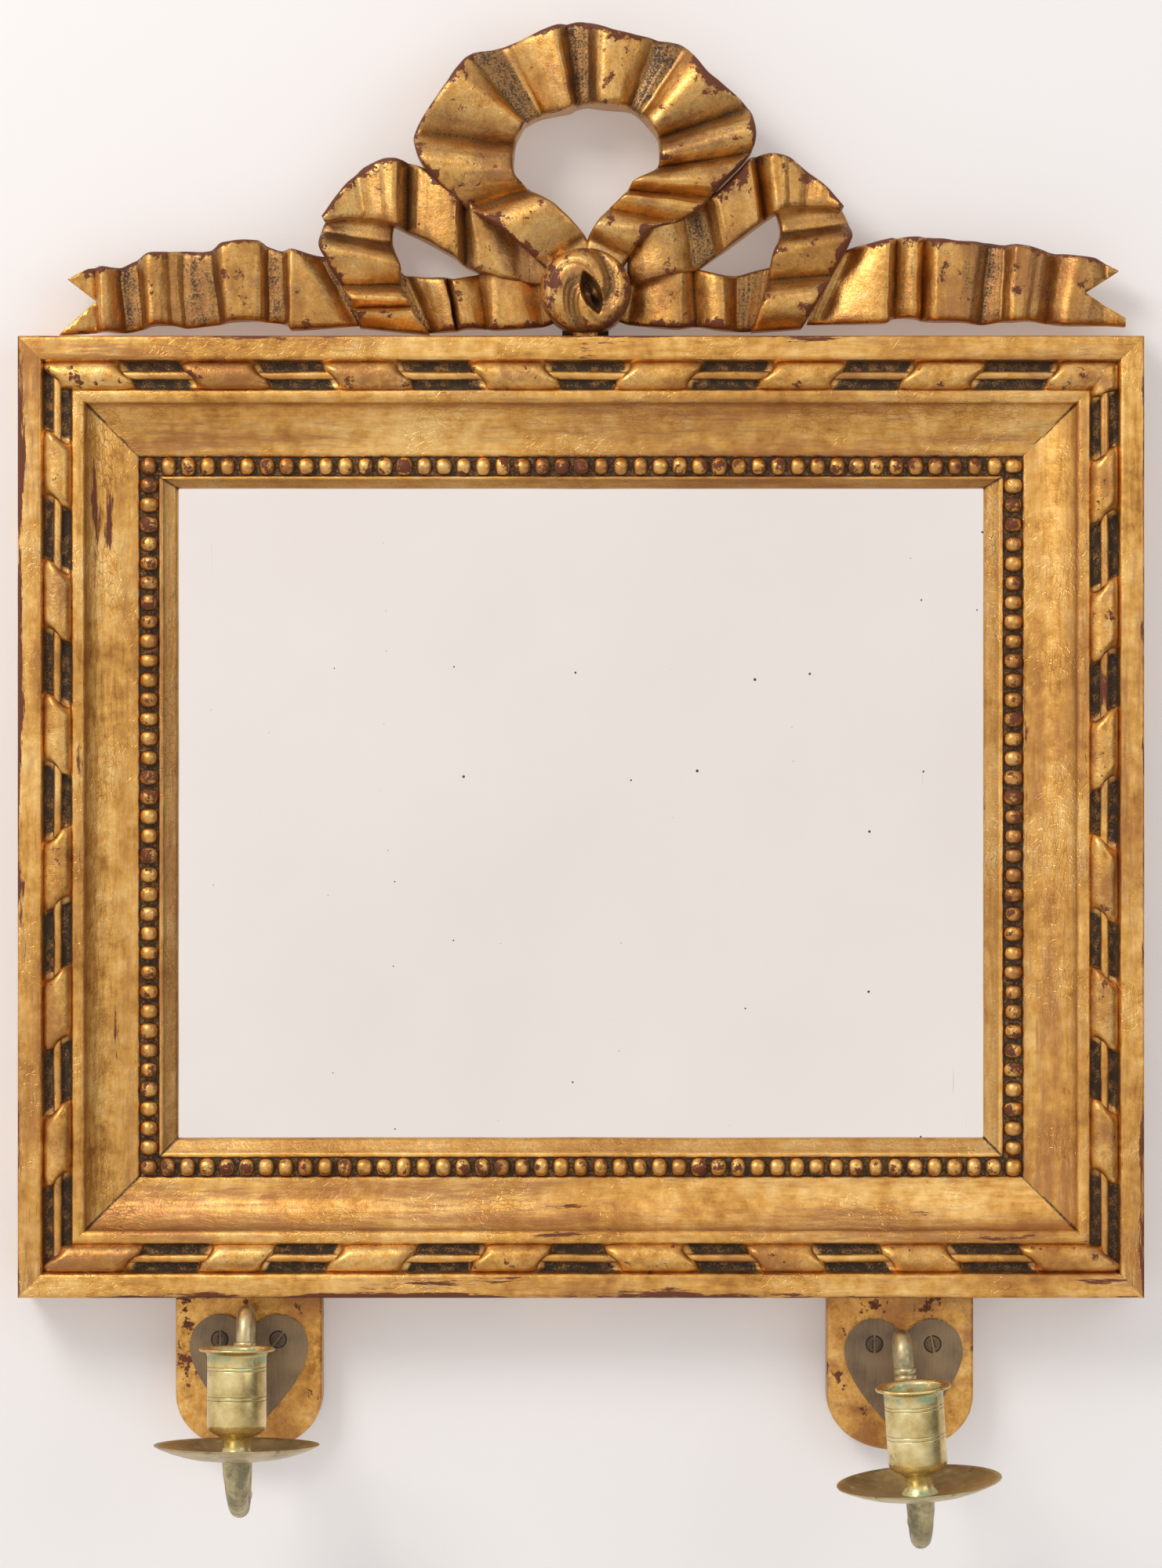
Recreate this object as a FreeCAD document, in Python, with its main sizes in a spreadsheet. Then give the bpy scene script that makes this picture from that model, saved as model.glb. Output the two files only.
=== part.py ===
import FreeCAD, Part
import math
import os

import Sketcher
from FreeCAD import Placement, Rotation, Vector

# Girandole mirror: a gilded frame with a carved ribbon crest and two swivelling candle arms.
# Millimetres. Z up, the front faces -Y, the wall is the plane Y = 0 and X = Z = 0 is the frame's centre.

DRIVING_SIZES = {
    "frame_width": 480.0,
    "frame_height": 410.0,
    "rail_width": 67.0,
    "rail_depth": 34.0,
    "edge_round": 1.2,
    "band_width": 10.0,
    "quirk_width": 1.2,
    "quirk_depth": 3.5,
    "twist_width": 11.2,
    "twist_rise": 5.4,
    "twist_cord_radius": 1.6,
    "recess_length": 27.0,
    "recess_depth": 4.6,
    "recess_slant": 6.6,
    "recess_end_top": 55.5,
    "recess_end_bottom": 63.0,
    "recess_end_side": 32.5,
    "step_width": 6.0,
    "step_drop": 2.5,
    "cove_width": 22.0,
    "cove_drop": 11.5,
    "bead_bed_width": 9.0,
    "bead_bed_drop": 1.5,
    "bead_radius": 3.4,
    "bevel_drop": 4.0,
    "lip_thickness": 3.0,
    "glass_lap": 5.0,
    "glass_thickness": 3.0,
    "glass_clearance": 0.5,
    "strip_width": 9.0,
    "board_thickness": 6.0,
    "board_ledge": 8.0,
    "board_clearance": 0.5,
    "key_leg": 34.0,
    "key_thickness": 2.5,
    "key_setback": 14.0,
    "joint_gap": 0.05,
    "nail_radius": 0.8,
    "nail_head_radius": 2.0,
    "nail_head_depth": 1.0,
    "nail_length": 13.0,
    "nail_end_long": 10.0,
    "nail_end_short": 34.0,
    "sconce_width": 63.0,
    "sconce_thickness": 14.0,
    "sconce_drop": 67.5,
    "sconce_straight": 43.0,
    "sconce_lap": 28.0,
    "sconce_screw_spread": 36.0,
    "sconce_screw_rise": 14.0,
    "sconce_screw_length": 24.0,
    "left_arm_inset": 97.4,
    "right_arm_inset": 101.5,
    "left_board_shift": -0.1,
    "right_board_shift": -1.3,
    "heart_width": 49.5,
    "heart_height": 50.0,
    "heart_cleft": 9.0,
    "heart_shoulder": 15.0,
    "heart_thickness": 2.0,
    "left_heart_drop": 9.5,
    "right_heart_drop": 11.5,
    "heart_screw_spread": 25.0,
    "heart_screw_drop": 10.0,
    "heart_tip_screw_drop": 39.5,
    "screw_radius": 1.7,
    "screw_head_radius": 3.45,
    "screw_head_depth": 1.9,
    "heart_screw_length": 12.0,
    "socket_radius": 5.5,
    "socket_length": 16.0,
    "socket_standoff": 8.0,
    "socket_web": 5.0,
    "left_socket_drop": 37.0,
    "right_socket_drop": 46.0,
    "pin_radius": 3.0,
    "pin_running_gap": 0.05,
    "pin_overhang": 2.0,
    "shoulder_gap": 0.3,
    "left_tilt": -2.5,
    "right_tilt": 3.0,
    "left_lean": 0.0,
    "right_lean": -4.0,
    "bar_radius": 3.9,
    "elbow_radius": 9.0,
    "elbow_rise": 20.5,
    "ring_drop": 3.0,
    "ring_radius": 4.7,
    "ring_width": 2.4,
    "arm_reach": 66.5,
    "foot_drop": 49.0,
    "foot_width": 38.0,
    "leg_top_radius": 6.0,
    "knob_radius": 4.3,
    "pan_height": -26.0,
    "pan_radius": 34.3,
    "pan_rise": 5.6,
    "pan_thickness": 1.1,
    "pan_hub_radius": 9.0,
    "cup_radius": 12.3,
    "cup_bore_radius": 11.2,
    "cup_bore_depth": 30.0,
    "cup_length": 34.0,
    "cup_round": 3.6,
    "rim_radius": 15.7,
    "rim_thickness": 1.5,
    "neck_radius": 5.8,
    "neck_length": 9.0,
    "stem_radius": 2.5,
    "stem_length": 9.0,
    "stem_gap": 0.05,
    "crest_back": 2.5,
    "crest_ribbon_back": 9.0,
    "main_loop_front": 28.0,
    "side_loop_front": 23.0,
    "lower_loop_front": 19.0,
    "streamer_front": 18.0,
    "pleat_depth": 3.2,
    "knot_rise": 20.0,
    "knot_across": 1.9,
    "knot_radius": 18.6,
    "knot_body_depth": 25.0,
    "knot_strand_radius": 6.4,
    "peg_radius": 5.4,
    "peg_mortise": 18.0,
    "peg_gap": 0.05,
    "hanger_width": 20.0,
    "hanger_thickness": 2.5,
    "hanger_foot": 41.0,
    "hanger_eye_radius": 3.5,
    "hanger_eye_rise": 26.0,
    "hanger_pocket_radius": 6.5,
    "hanger_pocket_depth": 9.0,
    "hanger_screw_length": 10.5,
}

# The folds of the carved ribbon, in order along each band. A fold runs straight across the band, from its
# outer edge (across, height above the frame) to its inner edge, and stands out by a share of the pleat depth.
MAIN_FOLDS = [
    (-9.5, 22.5, 3.5, 33.5, -0.8), (-16.5, 31, 2.5, 42.5, -0.8), (-34.5, 46.5, -10.5, 56, 0.95),
    (-50.5, 56, -23, 64, -0.95), (-68, 74.5, -28.5, 70, 1), (-71, 88, -28, 83, -0.8),
    (-55.5, 111, -25, 90, 1), (-48, 121, -23, 92, -0.75), (-33, 124.5, -17, 95, -0.95),
    (-11.5, 133, -4.5, 97.5, 0.85), (-6.5, 134.5, -2, 99, -0.85), (2.5, 135, 3, 100, -0.5),
    (12, 131.5, 10.5, 99, 0.95), (33, 127.5, 21, 98, -0.95), (45, 124, 25.5, 95, -0.55),
    (54.5, 112.5, 30, 90, 0.95), (71.5, 98.5, 33, 85.5, -0.85), (74.5, 88, 33.5, 77, 0.8),
    (72.5, 79, 32.5, 72.5, -0.55), (60, 65.5, 22.5, 66.5, 1), (55.5, 60, 20, 63, -0.5),
    (51.5, 55, 17.5, 60, 0.7), (42, 49.5, 12, 55, -0.45), (30, 45.5, 6, 48, 0.8),
    (20, 34, 3, 42.5, -0.8), (14.5, 22.5, 1.5, 33.5, -0.8),
]
LEFT_UPPER_FOLDS = [
    (-14, 34, -14, 22.5, -0.75), (-29, 44, -25.5, 24, -0.75), (-47, 51.5, -41, 27.5, 0.6),
    (-49.5, 54, -49.5, 31, -0.8), (-53, 56.5, -54.5, 35, 0.85), (-67, 72.5, -68, 42.5, 0.2),
    (-74.5, 76, -74.5, 45.5, -0.85), (-80.5, 77, -79.5, 48, 0.95), (-95, 68, -93, 50.5, -0.35),
    (-111, 51.5, -109.5, 50.5, 0.7),
]
LEFT_TURN_FOLDS = [
    (-110.5, 51.5, -78.5, 47, -1.45), (-111.5, 45.5, -81, 41.5, -1.1), (-112, 39, -77.5, 31.5, 0.8),
    (-103, 23, -77, 23, -0.7), (-99.5, 17, -74, 16.5, 0.7), (-98, 13, -72.5, 13.5, -0.25),
    (-96, 10.5, -71.5, 11, 0.7), (-95, 5, -65, 2, -0.5),
]
LEFT_LOWER_FOLDS = [
    (-72, 3.5, -79.5, 31, -0.95), (-64.5, 3, -75, 27.5, -0.95), (-54, 3.5, -59, 26, 0.7),
    (-53, 3.5, -57, 26.5, -0.8), (-49.5, 4.5, -54.5, 25.5, 0.8), (-41, 4.5, -44, 26, -0.55),
    (-36.5, 4, -36.5, 25, 0.5), (-16.5, 5.5, -20.5, 21.5, -0.8), (-9.5, 8, -10.5, 19.5, -0.8),
]
RIGHT_UPPER_FOLDS = [
    (20, 33, 20, 22.5, -0.7), (32, 47, 35.5, 26, 0.7), (45, 47.5, 49, 29.5, -0.8),
    (52, 53.5, 57, 34.5, -0.6), (57, 57.5, 63.5, 39, 0.8), (71.5, 76, 75.5, 48, 0.55),
    (74.5, 77.5, 79, 50.5, -0.85), (82.5, 79.5, 84.5, 54, 0.85), (95.5, 72, 96, 55.5, -0.25),
    (113, 56.5, 112, 55.5, 0.7),
]
RIGHT_TURN_FOLDS = [
    (113, 56.5, 81, 50.5, -1.45), (115.5, 51.5, 85.5, 46, -1.05), (116.5, 47, 82.5, 36.5, 0.8),
    (108, 27.5, 79.5, 25, -0.75), (103, 18, 77, 15, 0.75), (94.5, 4.5, 73, 3, -0.5),
]
RIGHT_LOWER_FOLDS = [
    (79.5, 4, 82.5, 31.5, -0.95), (73, 3.5, 76.5, 30, -0.95), (67, 3.5, 67, 27.5, -0.8),
    (59.5, 4, 59, 27.5, 0.75), (49.5, 5.5, 48, 28, -0.7), (41, 4.5, 41.5, 27.5, 0.55),
    (20.5, 6.5, 24, 21.5, -0.8), (15, 8.5, 15, 19.5, -0.8),
]
LEFT_STREAMER_FOLDS = [
    (-105, 35.5, -94.5, 6, -0.8), (-112.5, 36, -96, 6, -0.8), (-124, 38.5, -124, 4, 0.8),
    (-128.5, 38, -127, 6.5, -0.6), (-134.5, 40, -134, 7.5, -0.85), (-139, 42.5, -140, 8, 0.25),
    (-153.5, 41.5, -150.5, 7.5, 0.95), (-159.5, 38, -155, 6.5, -0.55), (-171, 38, -169.5, 5, -0.85),
    (-176.5, 37.5, -175, 6, -0.2), (-185, 37, -183.5, 6, 0.85), (-191, 34, -188, 4.5, -0.5),
    (-198, 31, -195.5, 3, -0.8), (-205.5, 31, -204.5, 3.5, 0.75), (-209, 30.5, -208, 3, -0.2),
    (-221.5, 29, -224.5, 1.5, 0.3),
]
RIGHT_STREAMER_FOLDS = [
    (106, 34.5, 97, 6.5, -0.8), (117, 39.5, 101.5, 6.5, -0.8), (132, 43, 130.5, 7, 0.8),
    (135.5, 43.5, 134.5, 9, -0.55), (143.5, 44, 143, 9, 0.5), (147.5, 44, 146.5, 8, -0.55),
    (153, 43, 152.5, 7.5, 0.85), (166, 42, 164, 7.5, 0.25), (175.5, 41.5, 172, 6.5, -0.8),
    (182, 40.5, 180, 7.5, -0.3), (187.5, 40.5, 185, 7.5, 0.85), (197, 38.5, 192.5, 8, 0.2),
    (203.5, 37, 199.5, 7, -0.75), (215, 35.5, 208, 6, 0.75), (225, 34.5, 225, 6, -0.1),
    (231.5, 34, 234, 5.5, 0.1),
]
LEFT_NOTCH = [(-207.5, 16), (-236, 34), (-236, -3)]
RIGHT_NOTCH = [(216, 19.5), (243, 37), (243, 3)]
LEFT_TIPS = [(-216, 31.5), (-240, 22), (-240, 40)]
RIGHT_TIPS = [(218, 36), (240, 24), (240, 42)]
KNOT_STRANDS = 2
KNOT_STRAND_SECTIONS = 10
ARM_SECTIONS = 18
NAILS_LONG = 4
NAILS_SHORT = 3
SCREW_SIDES = 10
TWIST_FACETS = 5
COVE_FACETS = 5
KNOB_BANDS = 5
PAN_FACETS = 3
ROD_SIDES = 10
STRAND_SIDES = 8
TURNING_SIDES = 26
PEG_SIDES = 12
BEAD_FACETS = 4


class Size:
    """A number and the sheet expression that it comes from."""

    def __init__(self, value, text):
        self.value = float(value)
        self.text = text

    def __add__(self, other):
        other = as_size(other)
        return Size(self.value + other.value, "(%s + %s)" % (self.text, other.text))

    def __sub__(self, other):
        other = as_size(other)
        return Size(self.value - other.value, "(%s - %s)" % (self.text, other.text))

    def __mul__(self, factor):
        return Size(self.value * factor, "(%s * %s)" % (self.text, factor))

    def __truediv__(self, divisor):
        return Size(self.value / divisor, "(%s / %s)" % (self.text, divisor))

    def __neg__(self):
        return Size(-self.value, "(0 - %s)" % self.text)

    __radd__ = __add__

    def __rsub__(self, other):
        return as_size(other) - self


def as_size(number):
    return number if isinstance(number, Size) else Size(number, repr(float(number)))


doc = FreeCAD.newDocument("girandole_mirror")
sheet = doc.addObject("Spreadsheet::Sheet", "sizes")
for row, (alias, number) in enumerate(DRIVING_SIZES.items(), start=1):
    sheet.set("A%d" % row, alias)
    sheet.set("B%d" % row, str(number))
    sheet.setAlias("B%d" % row, alias)
doc.recompute()

nodes = {}


def size(alias):
    return Size(sheet.get(alias), "sizes." + alias)


def mm(alias):
    return float(sheet.get(alias))


# Depth of the carved face, measured out from the wall.
band_face = size("rail_depth")
quirk_floor = band_face - size("quirk_depth")
twist_crown = quirk_floor + size("twist_rise")
step_face = band_face - size("step_drop")
cove_foot = step_face - size("cove_drop")
bead_bed = cove_foot - size("bead_bed_drop")
sight_face = cove_foot - size("bevel_drop")
glass_face = sight_face - size("lip_thickness")
glass_back = glass_face - size("glass_thickness")

# Distance in from the frame's outer edge.
twist_outer = size("band_width") + size("quirk_width")
twist_inner = twist_outer + size("twist_width")
twist_middle = twist_outer + size("twist_width") / 2
cove_outer = twist_inner + size("step_width")
cove_inner = cove_outer + size("cove_width")
bead_line = cove_inner + size("bead_bed_width") / 2
bevel_outer = cove_inner + size("bead_bed_width")
glass_rebate = size("rail_width") - size("glass_lap")
board_rebate = glass_rebate - size("board_ledge")
nail_line = board_rebate + size("board_ledge") / 2

sight_width = size("frame_width") - size("rail_width") * 2
sight_height = size("frame_height") - size("rail_width") * 2
frame_top = size("frame_height") / 2
frame_foot = -frame_top
knot_centre = frame_top + size("knot_rise")
hanger_bottom = frame_top - size("hanger_foot")
hanger_eye = frame_top + size("hanger_eye_rise")
plate_face = size("sconce_thickness") + size("heart_thickness")
pivot_depth = plate_face + size("socket_standoff")


arm_across = {
    "left": size("left_arm_inset") - size("frame_width") / 2,
    "right": size("frame_width") / 2 - size("right_arm_inset"),
}
board_across = {side: arm_across[side] + size(side + "_board_shift") for side in arm_across}
heart_top = {side: frame_foot - size(side + "_heart_drop") for side in arm_across}
socket_height = {side: frame_foot - size(side + "_socket_drop") for side in arm_across}


def bind(obj, prop, number):
    obj.setExpression(prop, as_size(number).text)


def place(obj, across=0, depth=0, height=0, rotation=Rotation()):
    """Puts an object at a point, with the depth measured out from the wall."""
    obj.Placement = Placement(Vector(), rotation)
    bind(obj, "Placement.Base.x", across)
    bind(obj, "Placement.Base.y", -as_size(depth))
    bind(obj, "Placement.Base.z", height)
    return obj


def new_body(label):
    body = doc.addObject("PartDesign::Body", label)
    body.Label = label
    return body


def arc_edge(start, end, radius):
    """The short arc from start to end, turning left for a positive radius and right for a negative one."""
    chord = end - start
    half = chord.Length / 2
    reach = max(abs(radius), half * 1.0001)
    toward_centre = Vector(-chord.y, chord.x, 0).normalize() * math.sqrt(reach ** 2 - half ** 2)
    middle = (start + end) / 2
    centre = middle + toward_centre if radius > 0 else middle - toward_centre
    first, last = (start, end) if radius > 0 else (end, start)
    first_angle = math.atan2(first.y - centre.y, first.x - centre.x)
    last_angle = math.atan2(last.y - centre.y, last.x - centre.x)
    circle = Part.Circle(centre, Vector(0, 0, 1), reach)
    return Part.ArcOfCircle(circle, first_angle, last_angle)


def sketch_on(body, plane_role, name, setback=0):
    """An empty sketch on one of the body's own planes, set back along the plane's normal."""
    sketch = body.newObject("Sketcher::SketchObject", name)
    plane = [item for item in body.Origin.OriginFeatures if item.Role == plane_role][0]
    sketch.AttachmentSupport = (plane, [""])
    sketch.MapMode = "FlatFace"
    bind(sketch, "AttachmentOffset.Base.z", setback)
    return sketch


def add_outline(sketch, points):
    """A closed outline. A third value at a point is the radius of the arc that leaves it."""
    corners = [Vector(as_size(p[0]).value, as_size(p[1]).value, 0) for p in points]
    first_edge = sketch.GeometryCount
    count = len(points)
    starts = []
    for i, point in enumerate(points):
        start, end = corners[i], corners[(i + 1) % count]
        if len(point) > 2:
            radius = as_size(point[2])
            edge = sketch.addGeometry(arc_edge(start, end, radius.value))
            rule = sketch.addConstraint(Sketcher.Constraint("Radius", edge, abs(radius.value)))
            positive = radius if radius.value > 0 else -radius
            bind(sketch, "Constraints[%d]" % rule, positive)
            starts.append((1, 2) if radius.value > 0 else (2, 1))
        else:
            sketch.addGeometry(Part.LineSegment(start, end))
            starts.append((1, 2))
    for i, point in enumerate(points):
        after = (i + 1) % count
        joined = ("Coincident", first_edge + i, starts[i][1], first_edge + after, starts[after][0])
        sketch.addConstraint(Sketcher.Constraint(*joined))
        for kind, number in (("DistanceX", point[0]), ("DistanceY", point[1])):
            number = as_size(number)
            held = (kind, -1, 1, first_edge + i, starts[i][0], number.value)
            rule = sketch.addConstraint(Sketcher.Constraint(*held))
            bind(sketch, "Constraints[%d]" % rule, number)
    return sketch


def add_circle(sketch, across, up, radius):
    across, up, radius = as_size(across), as_size(up), as_size(radius)
    centre = Vector(across.value, up.value, 0)
    edge = sketch.addGeometry(Part.Circle(centre, Vector(0, 0, 1), radius.value))
    rules = (("DistanceX", -1, 1, edge, 3, across), ("DistanceY", -1, 1, edge, 3, up), ("Radius", edge, radius))
    for rule in rules:
        number = rule[-1]
        index = sketch.addConstraint(Sketcher.Constraint(*rule[:-1], number.value))
        bind(sketch, "Constraints[%d]" % index, number)
    return sketch


def pad(body, sketch, length, midplane=False, reverse=False):
    feature = body.newObject("PartDesign::Pad", sketch.Name + "_pad")
    feature.Profile = sketch
    feature.Midplane = midplane
    feature.Reversed = reverse
    bind(feature, "Length", length)
    doc.recompute()
    return feature


def pocket(body, sketch, length, midplane=False, reverse=False):
    before = body.Shape.Volume
    feature = body.newObject("PartDesign::Pocket", sketch.Name + "_pocket")
    feature.Profile = sketch
    feature.Midplane = midplane
    feature.Reversed = reverse
    bind(feature, "Length", length)
    doc.recompute()
    if body.Shape.Volume > before - 0.01:
        raise RuntimeError("%s cut nothing" % feature.Name)
    return feature


def row_of(body, feature, sketch, axis, spacing, count):
    """Repeats a feature count times, the given spacing apart along one of its sketch's axes."""
    pattern = body.newObject("PartDesign::LinearPattern", feature.Name + "_row")
    pattern.Originals = [feature]
    pattern.Direction = (sketch, [axis])
    pattern.Occurrences = count
    bind(pattern, "Length", spacing * (count - 1))
    body.Tip = pattern
    doc.recompute()
    return pattern


def cylinder(name, radius, length):
    solid = doc.addObject("Part::Cylinder", name)
    bind(solid, "Radius", radius)
    bind(solid, "Height", length)
    return solid


def block(name, width, depth, height):
    solid = doc.addObject("Part::Box", name)
    bind(solid, "Length", width)
    bind(solid, "Width", depth)
    bind(solid, "Height", height)
    return solid


def cut(label, base, tool):
    result = doc.addObject("Part::Cut", label)
    result.Label = label
    result.Base = base
    result.Tool = tool
    return result


def fuse(label, parts):
    result = doc.addObject("Part::MultiFuse", label)
    result.Label = label
    result.Shapes = parts
    return result


def group(label, parts):
    result = doc.addObject("Part::Compound", label)
    result.Label = label
    result.Links = parts
    return result


def keep(name, obj):
    """Registers an object as one of the finished pieces."""
    obj.Label = name
    nodes[name] = obj
    return obj


INTO_FRAME = Rotation(Vector(1, 0, 0), 90)     # a standing fastener laid with its tip toward the front
INTO_WALL = Rotation(Vector(1, 0, 0), -90)     # the same with its tip toward the wall


def ring_of(radius, sides, height):
    """The corners of a flat polygon around the Z axis."""
    corners = []
    for k in range(sides):
        angle = 2 * math.pi * (k + 0.5) / sides
        corners.append(Vector(radius * math.cos(angle), radius * math.sin(angle), height))
    return corners


def faceted_solid(rings):
    """A closed solid skinned over rings of points that all have the same number of corners."""
    triangles = []
    sides = len(rings[0])
    for lower, upper in zip(rings, rings[1:]):
        for k in range(sides):
            after = (k + 1) % sides
            triangles.append((lower[k], lower[after], upper[after]))
            triangles.append((lower[k], upper[after], upper[k]))
    for k in range(1, sides - 1):
        triangles.append((rings[0][0], rings[0][k + 1], rings[0][k]))
        triangles.append((rings[-1][0], rings[-1][k], rings[-1][k + 1]))
    faces = [Part.Face(Part.makePolygon(list(corners) + [corners[0]])) for corners in triangles]
    shell = Part.Shell(faces)
    shell.sewShape()
    solid = Part.Solid(shell)
    if solid.Volume < 0:
        solid.reverse()
    return solid.removeSplitter()


def fastener(name, sides, length, head_radius, head_depth, shank_radius, clearance):
    """A screw or nail standing on the flat of its head, its shank pointing along +Z."""
    solid = doc.addObject("Part::Feature", name)
    solid.Shape = faceted_solid([
        ring_of(head_radius + clearance, sides, 0),
        ring_of(shank_radius + clearance, sides, head_depth),
        ring_of(shank_radius + clearance, sides, length + clearance),
    ])
    return solid


def wood_screw(name, length, clearance=0):
    return fastener(name, SCREW_SIDES, length, mm("screw_head_radius"), mm("screw_head_depth"),
                    mm("screw_radius"), clearance)


def cut_nail(name, clearance=0):
    """A square forged nail."""
    return fastener(name, 4, mm("nail_length"), mm("nail_head_radius"), mm("nail_head_depth"),
                    mm("nail_radius"), clearance)


def profile_points():
    """The rail's section: across the sketch is -depth, up is the distance in from the edge, negated."""
    soft = size("edge_round")
    points = [
        (0, 0),
        (soft - band_face, 0),
        (-band_face, -soft),
        (-band_face, soft - size("band_width")),
        (soft - band_face, -size("band_width")),
        (-quirk_floor, -size("band_width")),
    ]
    for k in range(TWIST_FACETS + 1):
        turn = math.pi * k / TWIST_FACETS
        rise = size("twist_rise") * math.sin(turn)
        inward = size("twist_width") * ((1 - math.cos(turn)) / 2)
        points.append((-(quirk_floor + rise), -(twist_outer + inward)))
    points.append((-step_face, -twist_inner))
    for k in range(COVE_FACETS + 1):
        turn = math.pi / 2 * k / COVE_FACETS
        fall = size("cove_drop") * math.sin(turn)
        inward = size("cove_width") * (1 - math.cos(turn))
        points.append((fall - step_face, -(cove_outer + inward)))
    points.append((-bead_bed, -cove_inner))
    for k in range(BEAD_FACETS + 1):
        turn = math.pi * k / BEAD_FACETS
        rise = size("bead_radius") * math.sin(turn)
        inward = size("bead_radius") * math.cos(turn)
        points.append((-(bead_bed + rise), inward - bead_line))
    return points + [
        (-bead_bed, -bevel_outer),
        (-cove_foot, -bevel_outer),
        (-sight_face, -size("rail_width")),
        (-glass_face, -size("rail_width")),
        (-glass_face, -glass_rebate),
        (-size("board_thickness"), -glass_rebate),
        (-size("board_thickness"), -board_rebate),
        (0, -board_rebate),
    ]


def rise_radius(chord, rise):
    """The radius of an arc that rises this far over its chord."""
    half = chord / 2
    text = "((%s * %s + %s * %s) / (2 * %s))" % (half.text, half.text, rise.text, rise.text, rise.text)
    return Size((half.value ** 2 + rise.value ** 2) / (2 * rise.value), text)


def chord_radius(across, up, share):
    """The radius of an arc whose ends lie this far apart, as a share of the straight distance."""
    text = "(sqrt(%s * %s + %s * %s) * %s)" % (across.text, across.text, up.text, up.text, share)
    return Size(math.hypot(across.value, up.value) * share, text)


def recess_points(start, left_slant, right_slant):
    """A gap in the ribbon twist whose two ends lean with the ribbon's turns."""
    low = -twist_inner
    high = -twist_outer
    end = start + size("recess_length")
    return [
        (start + left_slant, low),
        (end + right_slant, low),
        (end - right_slant, high),
        (start - left_slant, high),
    ]


def cut_twist_recesses(body, pitch):
    """Seven gaps: one opening outward at the middle and three leaning each way beside it."""
    lean = size("recess_slant") / 2
    middle_start = -size("recess_length") / 2
    floor = twist_crown - size("recess_depth")
    for name, start, left, right, direction in (
        ("middle_recess", middle_start, lean, -lean, 0),
        ("right_recess", middle_start + pitch, -lean, -lean, 1),
        ("left_recess", middle_start - pitch, lean, lean, -1),
    ):
        sketch = sketch_on(body, "XZ_Plane", name, floor)
        add_outline(sketch, recess_points(start, left, right))
        gap = pocket(body, sketch, size("recess_depth") * 2, reverse=True)
        if direction:
            row = row_of(body, gap, sketch, "H_Axis", pitch, 3)
            row.Reversed = direction < 0
            doc.recompute()


def add_twist_cord(body, length):
    """The thin round cord that the ribbon is wound on, which shows in each gap."""
    sketch = sketch_on(body, "YZ_Plane", "twist_cord")
    floor = twist_crown - size("recess_depth")
    radius = size("twist_cord_radius")
    buried = floor - radius
    add_outline(sketch, [
        (-buried, -twist_middle - radius),
        (-buried, radius - twist_middle),
        (-floor, radius - twist_middle),
        (-(floor + radius), radius / 2 - twist_middle),
        (-(floor + radius), -twist_middle - radius / 2),
        (-floor, -twist_middle - radius),
    ])
    pad(body, sketch, length, midplane=True)


def cut_mitres(body, length):
    """Both ends cut at 45 degrees from the outer corner."""
    half = length / 2
    run = size("rail_width")
    deep = size("rail_depth") * 3
    for side, name in ((-1, "left_mitre"), (1, "right_mitre")):
        corner = half * side
        inner = (half - run * 1.25) * side
        sketch = sketch_on(body, "XZ_Plane", name)
        points = [(corner, 0), (corner * 1.1, 0), (corner * 1.1, run * -1.25), (inner, run * -1.25)]
        add_outline(sketch, points if side < 0 else points[::-1])
        pocket(body, sketch, deep, midplane=True)


def cut_key_slots(body, length):
    """A thin slot across each mitre for the corner key."""
    half = length / 2
    leg = size("key_leg") + size("joint_gap") * 2
    thickness = size("key_thickness") + size("joint_gap") * 2
    setback = size("key_setback") - size("joint_gap")
    for side, name in ((-1, "left_key_slot"), (1, "right_key_slot")):
        sketch = sketch_on(body, "XZ_Plane", name, setback)
        points = [(half * side, 0), (half * side, -leg), ((half - leg) * side, 0)]
        add_outline(sketch, points if side < 0 else points[::-1])
        pocket(body, sketch, thickness, reverse=True)


def moulding(label, length, pitch):
    """One mitred length of the carved moulding, outer edge up, its middle on the Z axis."""
    body = new_body(label)
    profile = sketch_on(body, "YZ_Plane", label + "_section")
    add_outline(profile, profile_points())
    pad(body, profile, length, midplane=True)
    cut_twist_recesses(body, pitch)
    add_twist_cord(body, length)
    cut_mitres(body, length)
    cut_key_slots(body, length)
    return body


def nails_around(prefix, clearance=0):
    """The backboard's nails, driven forward into the ledge on all four sides."""
    nails = []
    across = size("frame_width") / 2 - nail_line
    up = frame_top - nail_line
    along_width = size("frame_width") / 2 - board_rebate - size("nail_end_long")
    along_height = frame_top - board_rebate - size("nail_end_short")
    sides = (
        ("top", NAILS_LONG, along_width, up),
        ("bottom", NAILS_LONG, along_width, -up),
        ("left", NAILS_SHORT, along_height, -across),
        ("right", NAILS_SHORT, along_height, across),
    )
    for side, count, reach, offset in sides:
        for number in range(count):
            nail = cut_nail("%s_%s_%d" % (prefix, side, number), clearance)
            along = reach * (2 * number / (count - 1) - 1)
            if side in ("top", "bottom"):
                place(nail, along, 0, offset, INTO_FRAME)
            else:
                place(nail, offset, 0, along, INTO_FRAME)
            nails.append(nail)
    return nails


def sconce_screws(prefix, clearance=0):
    """Two screws behind each sconce board, into the bottom rail."""
    screws = []
    for side in ("left", "right"):
        for number, half in enumerate((-0.5, 0.5)):
            screw = wood_screw("%s_%s_%d" % (prefix, side, number), mm("sconce_screw_length"), clearance)
            across = board_across[side] + size("sconce_screw_spread") * half
            height = frame_foot + size("sconce_screw_rise")
            screws.append(place(screw, across, 0, height, INTO_FRAME))
    return screws


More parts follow.
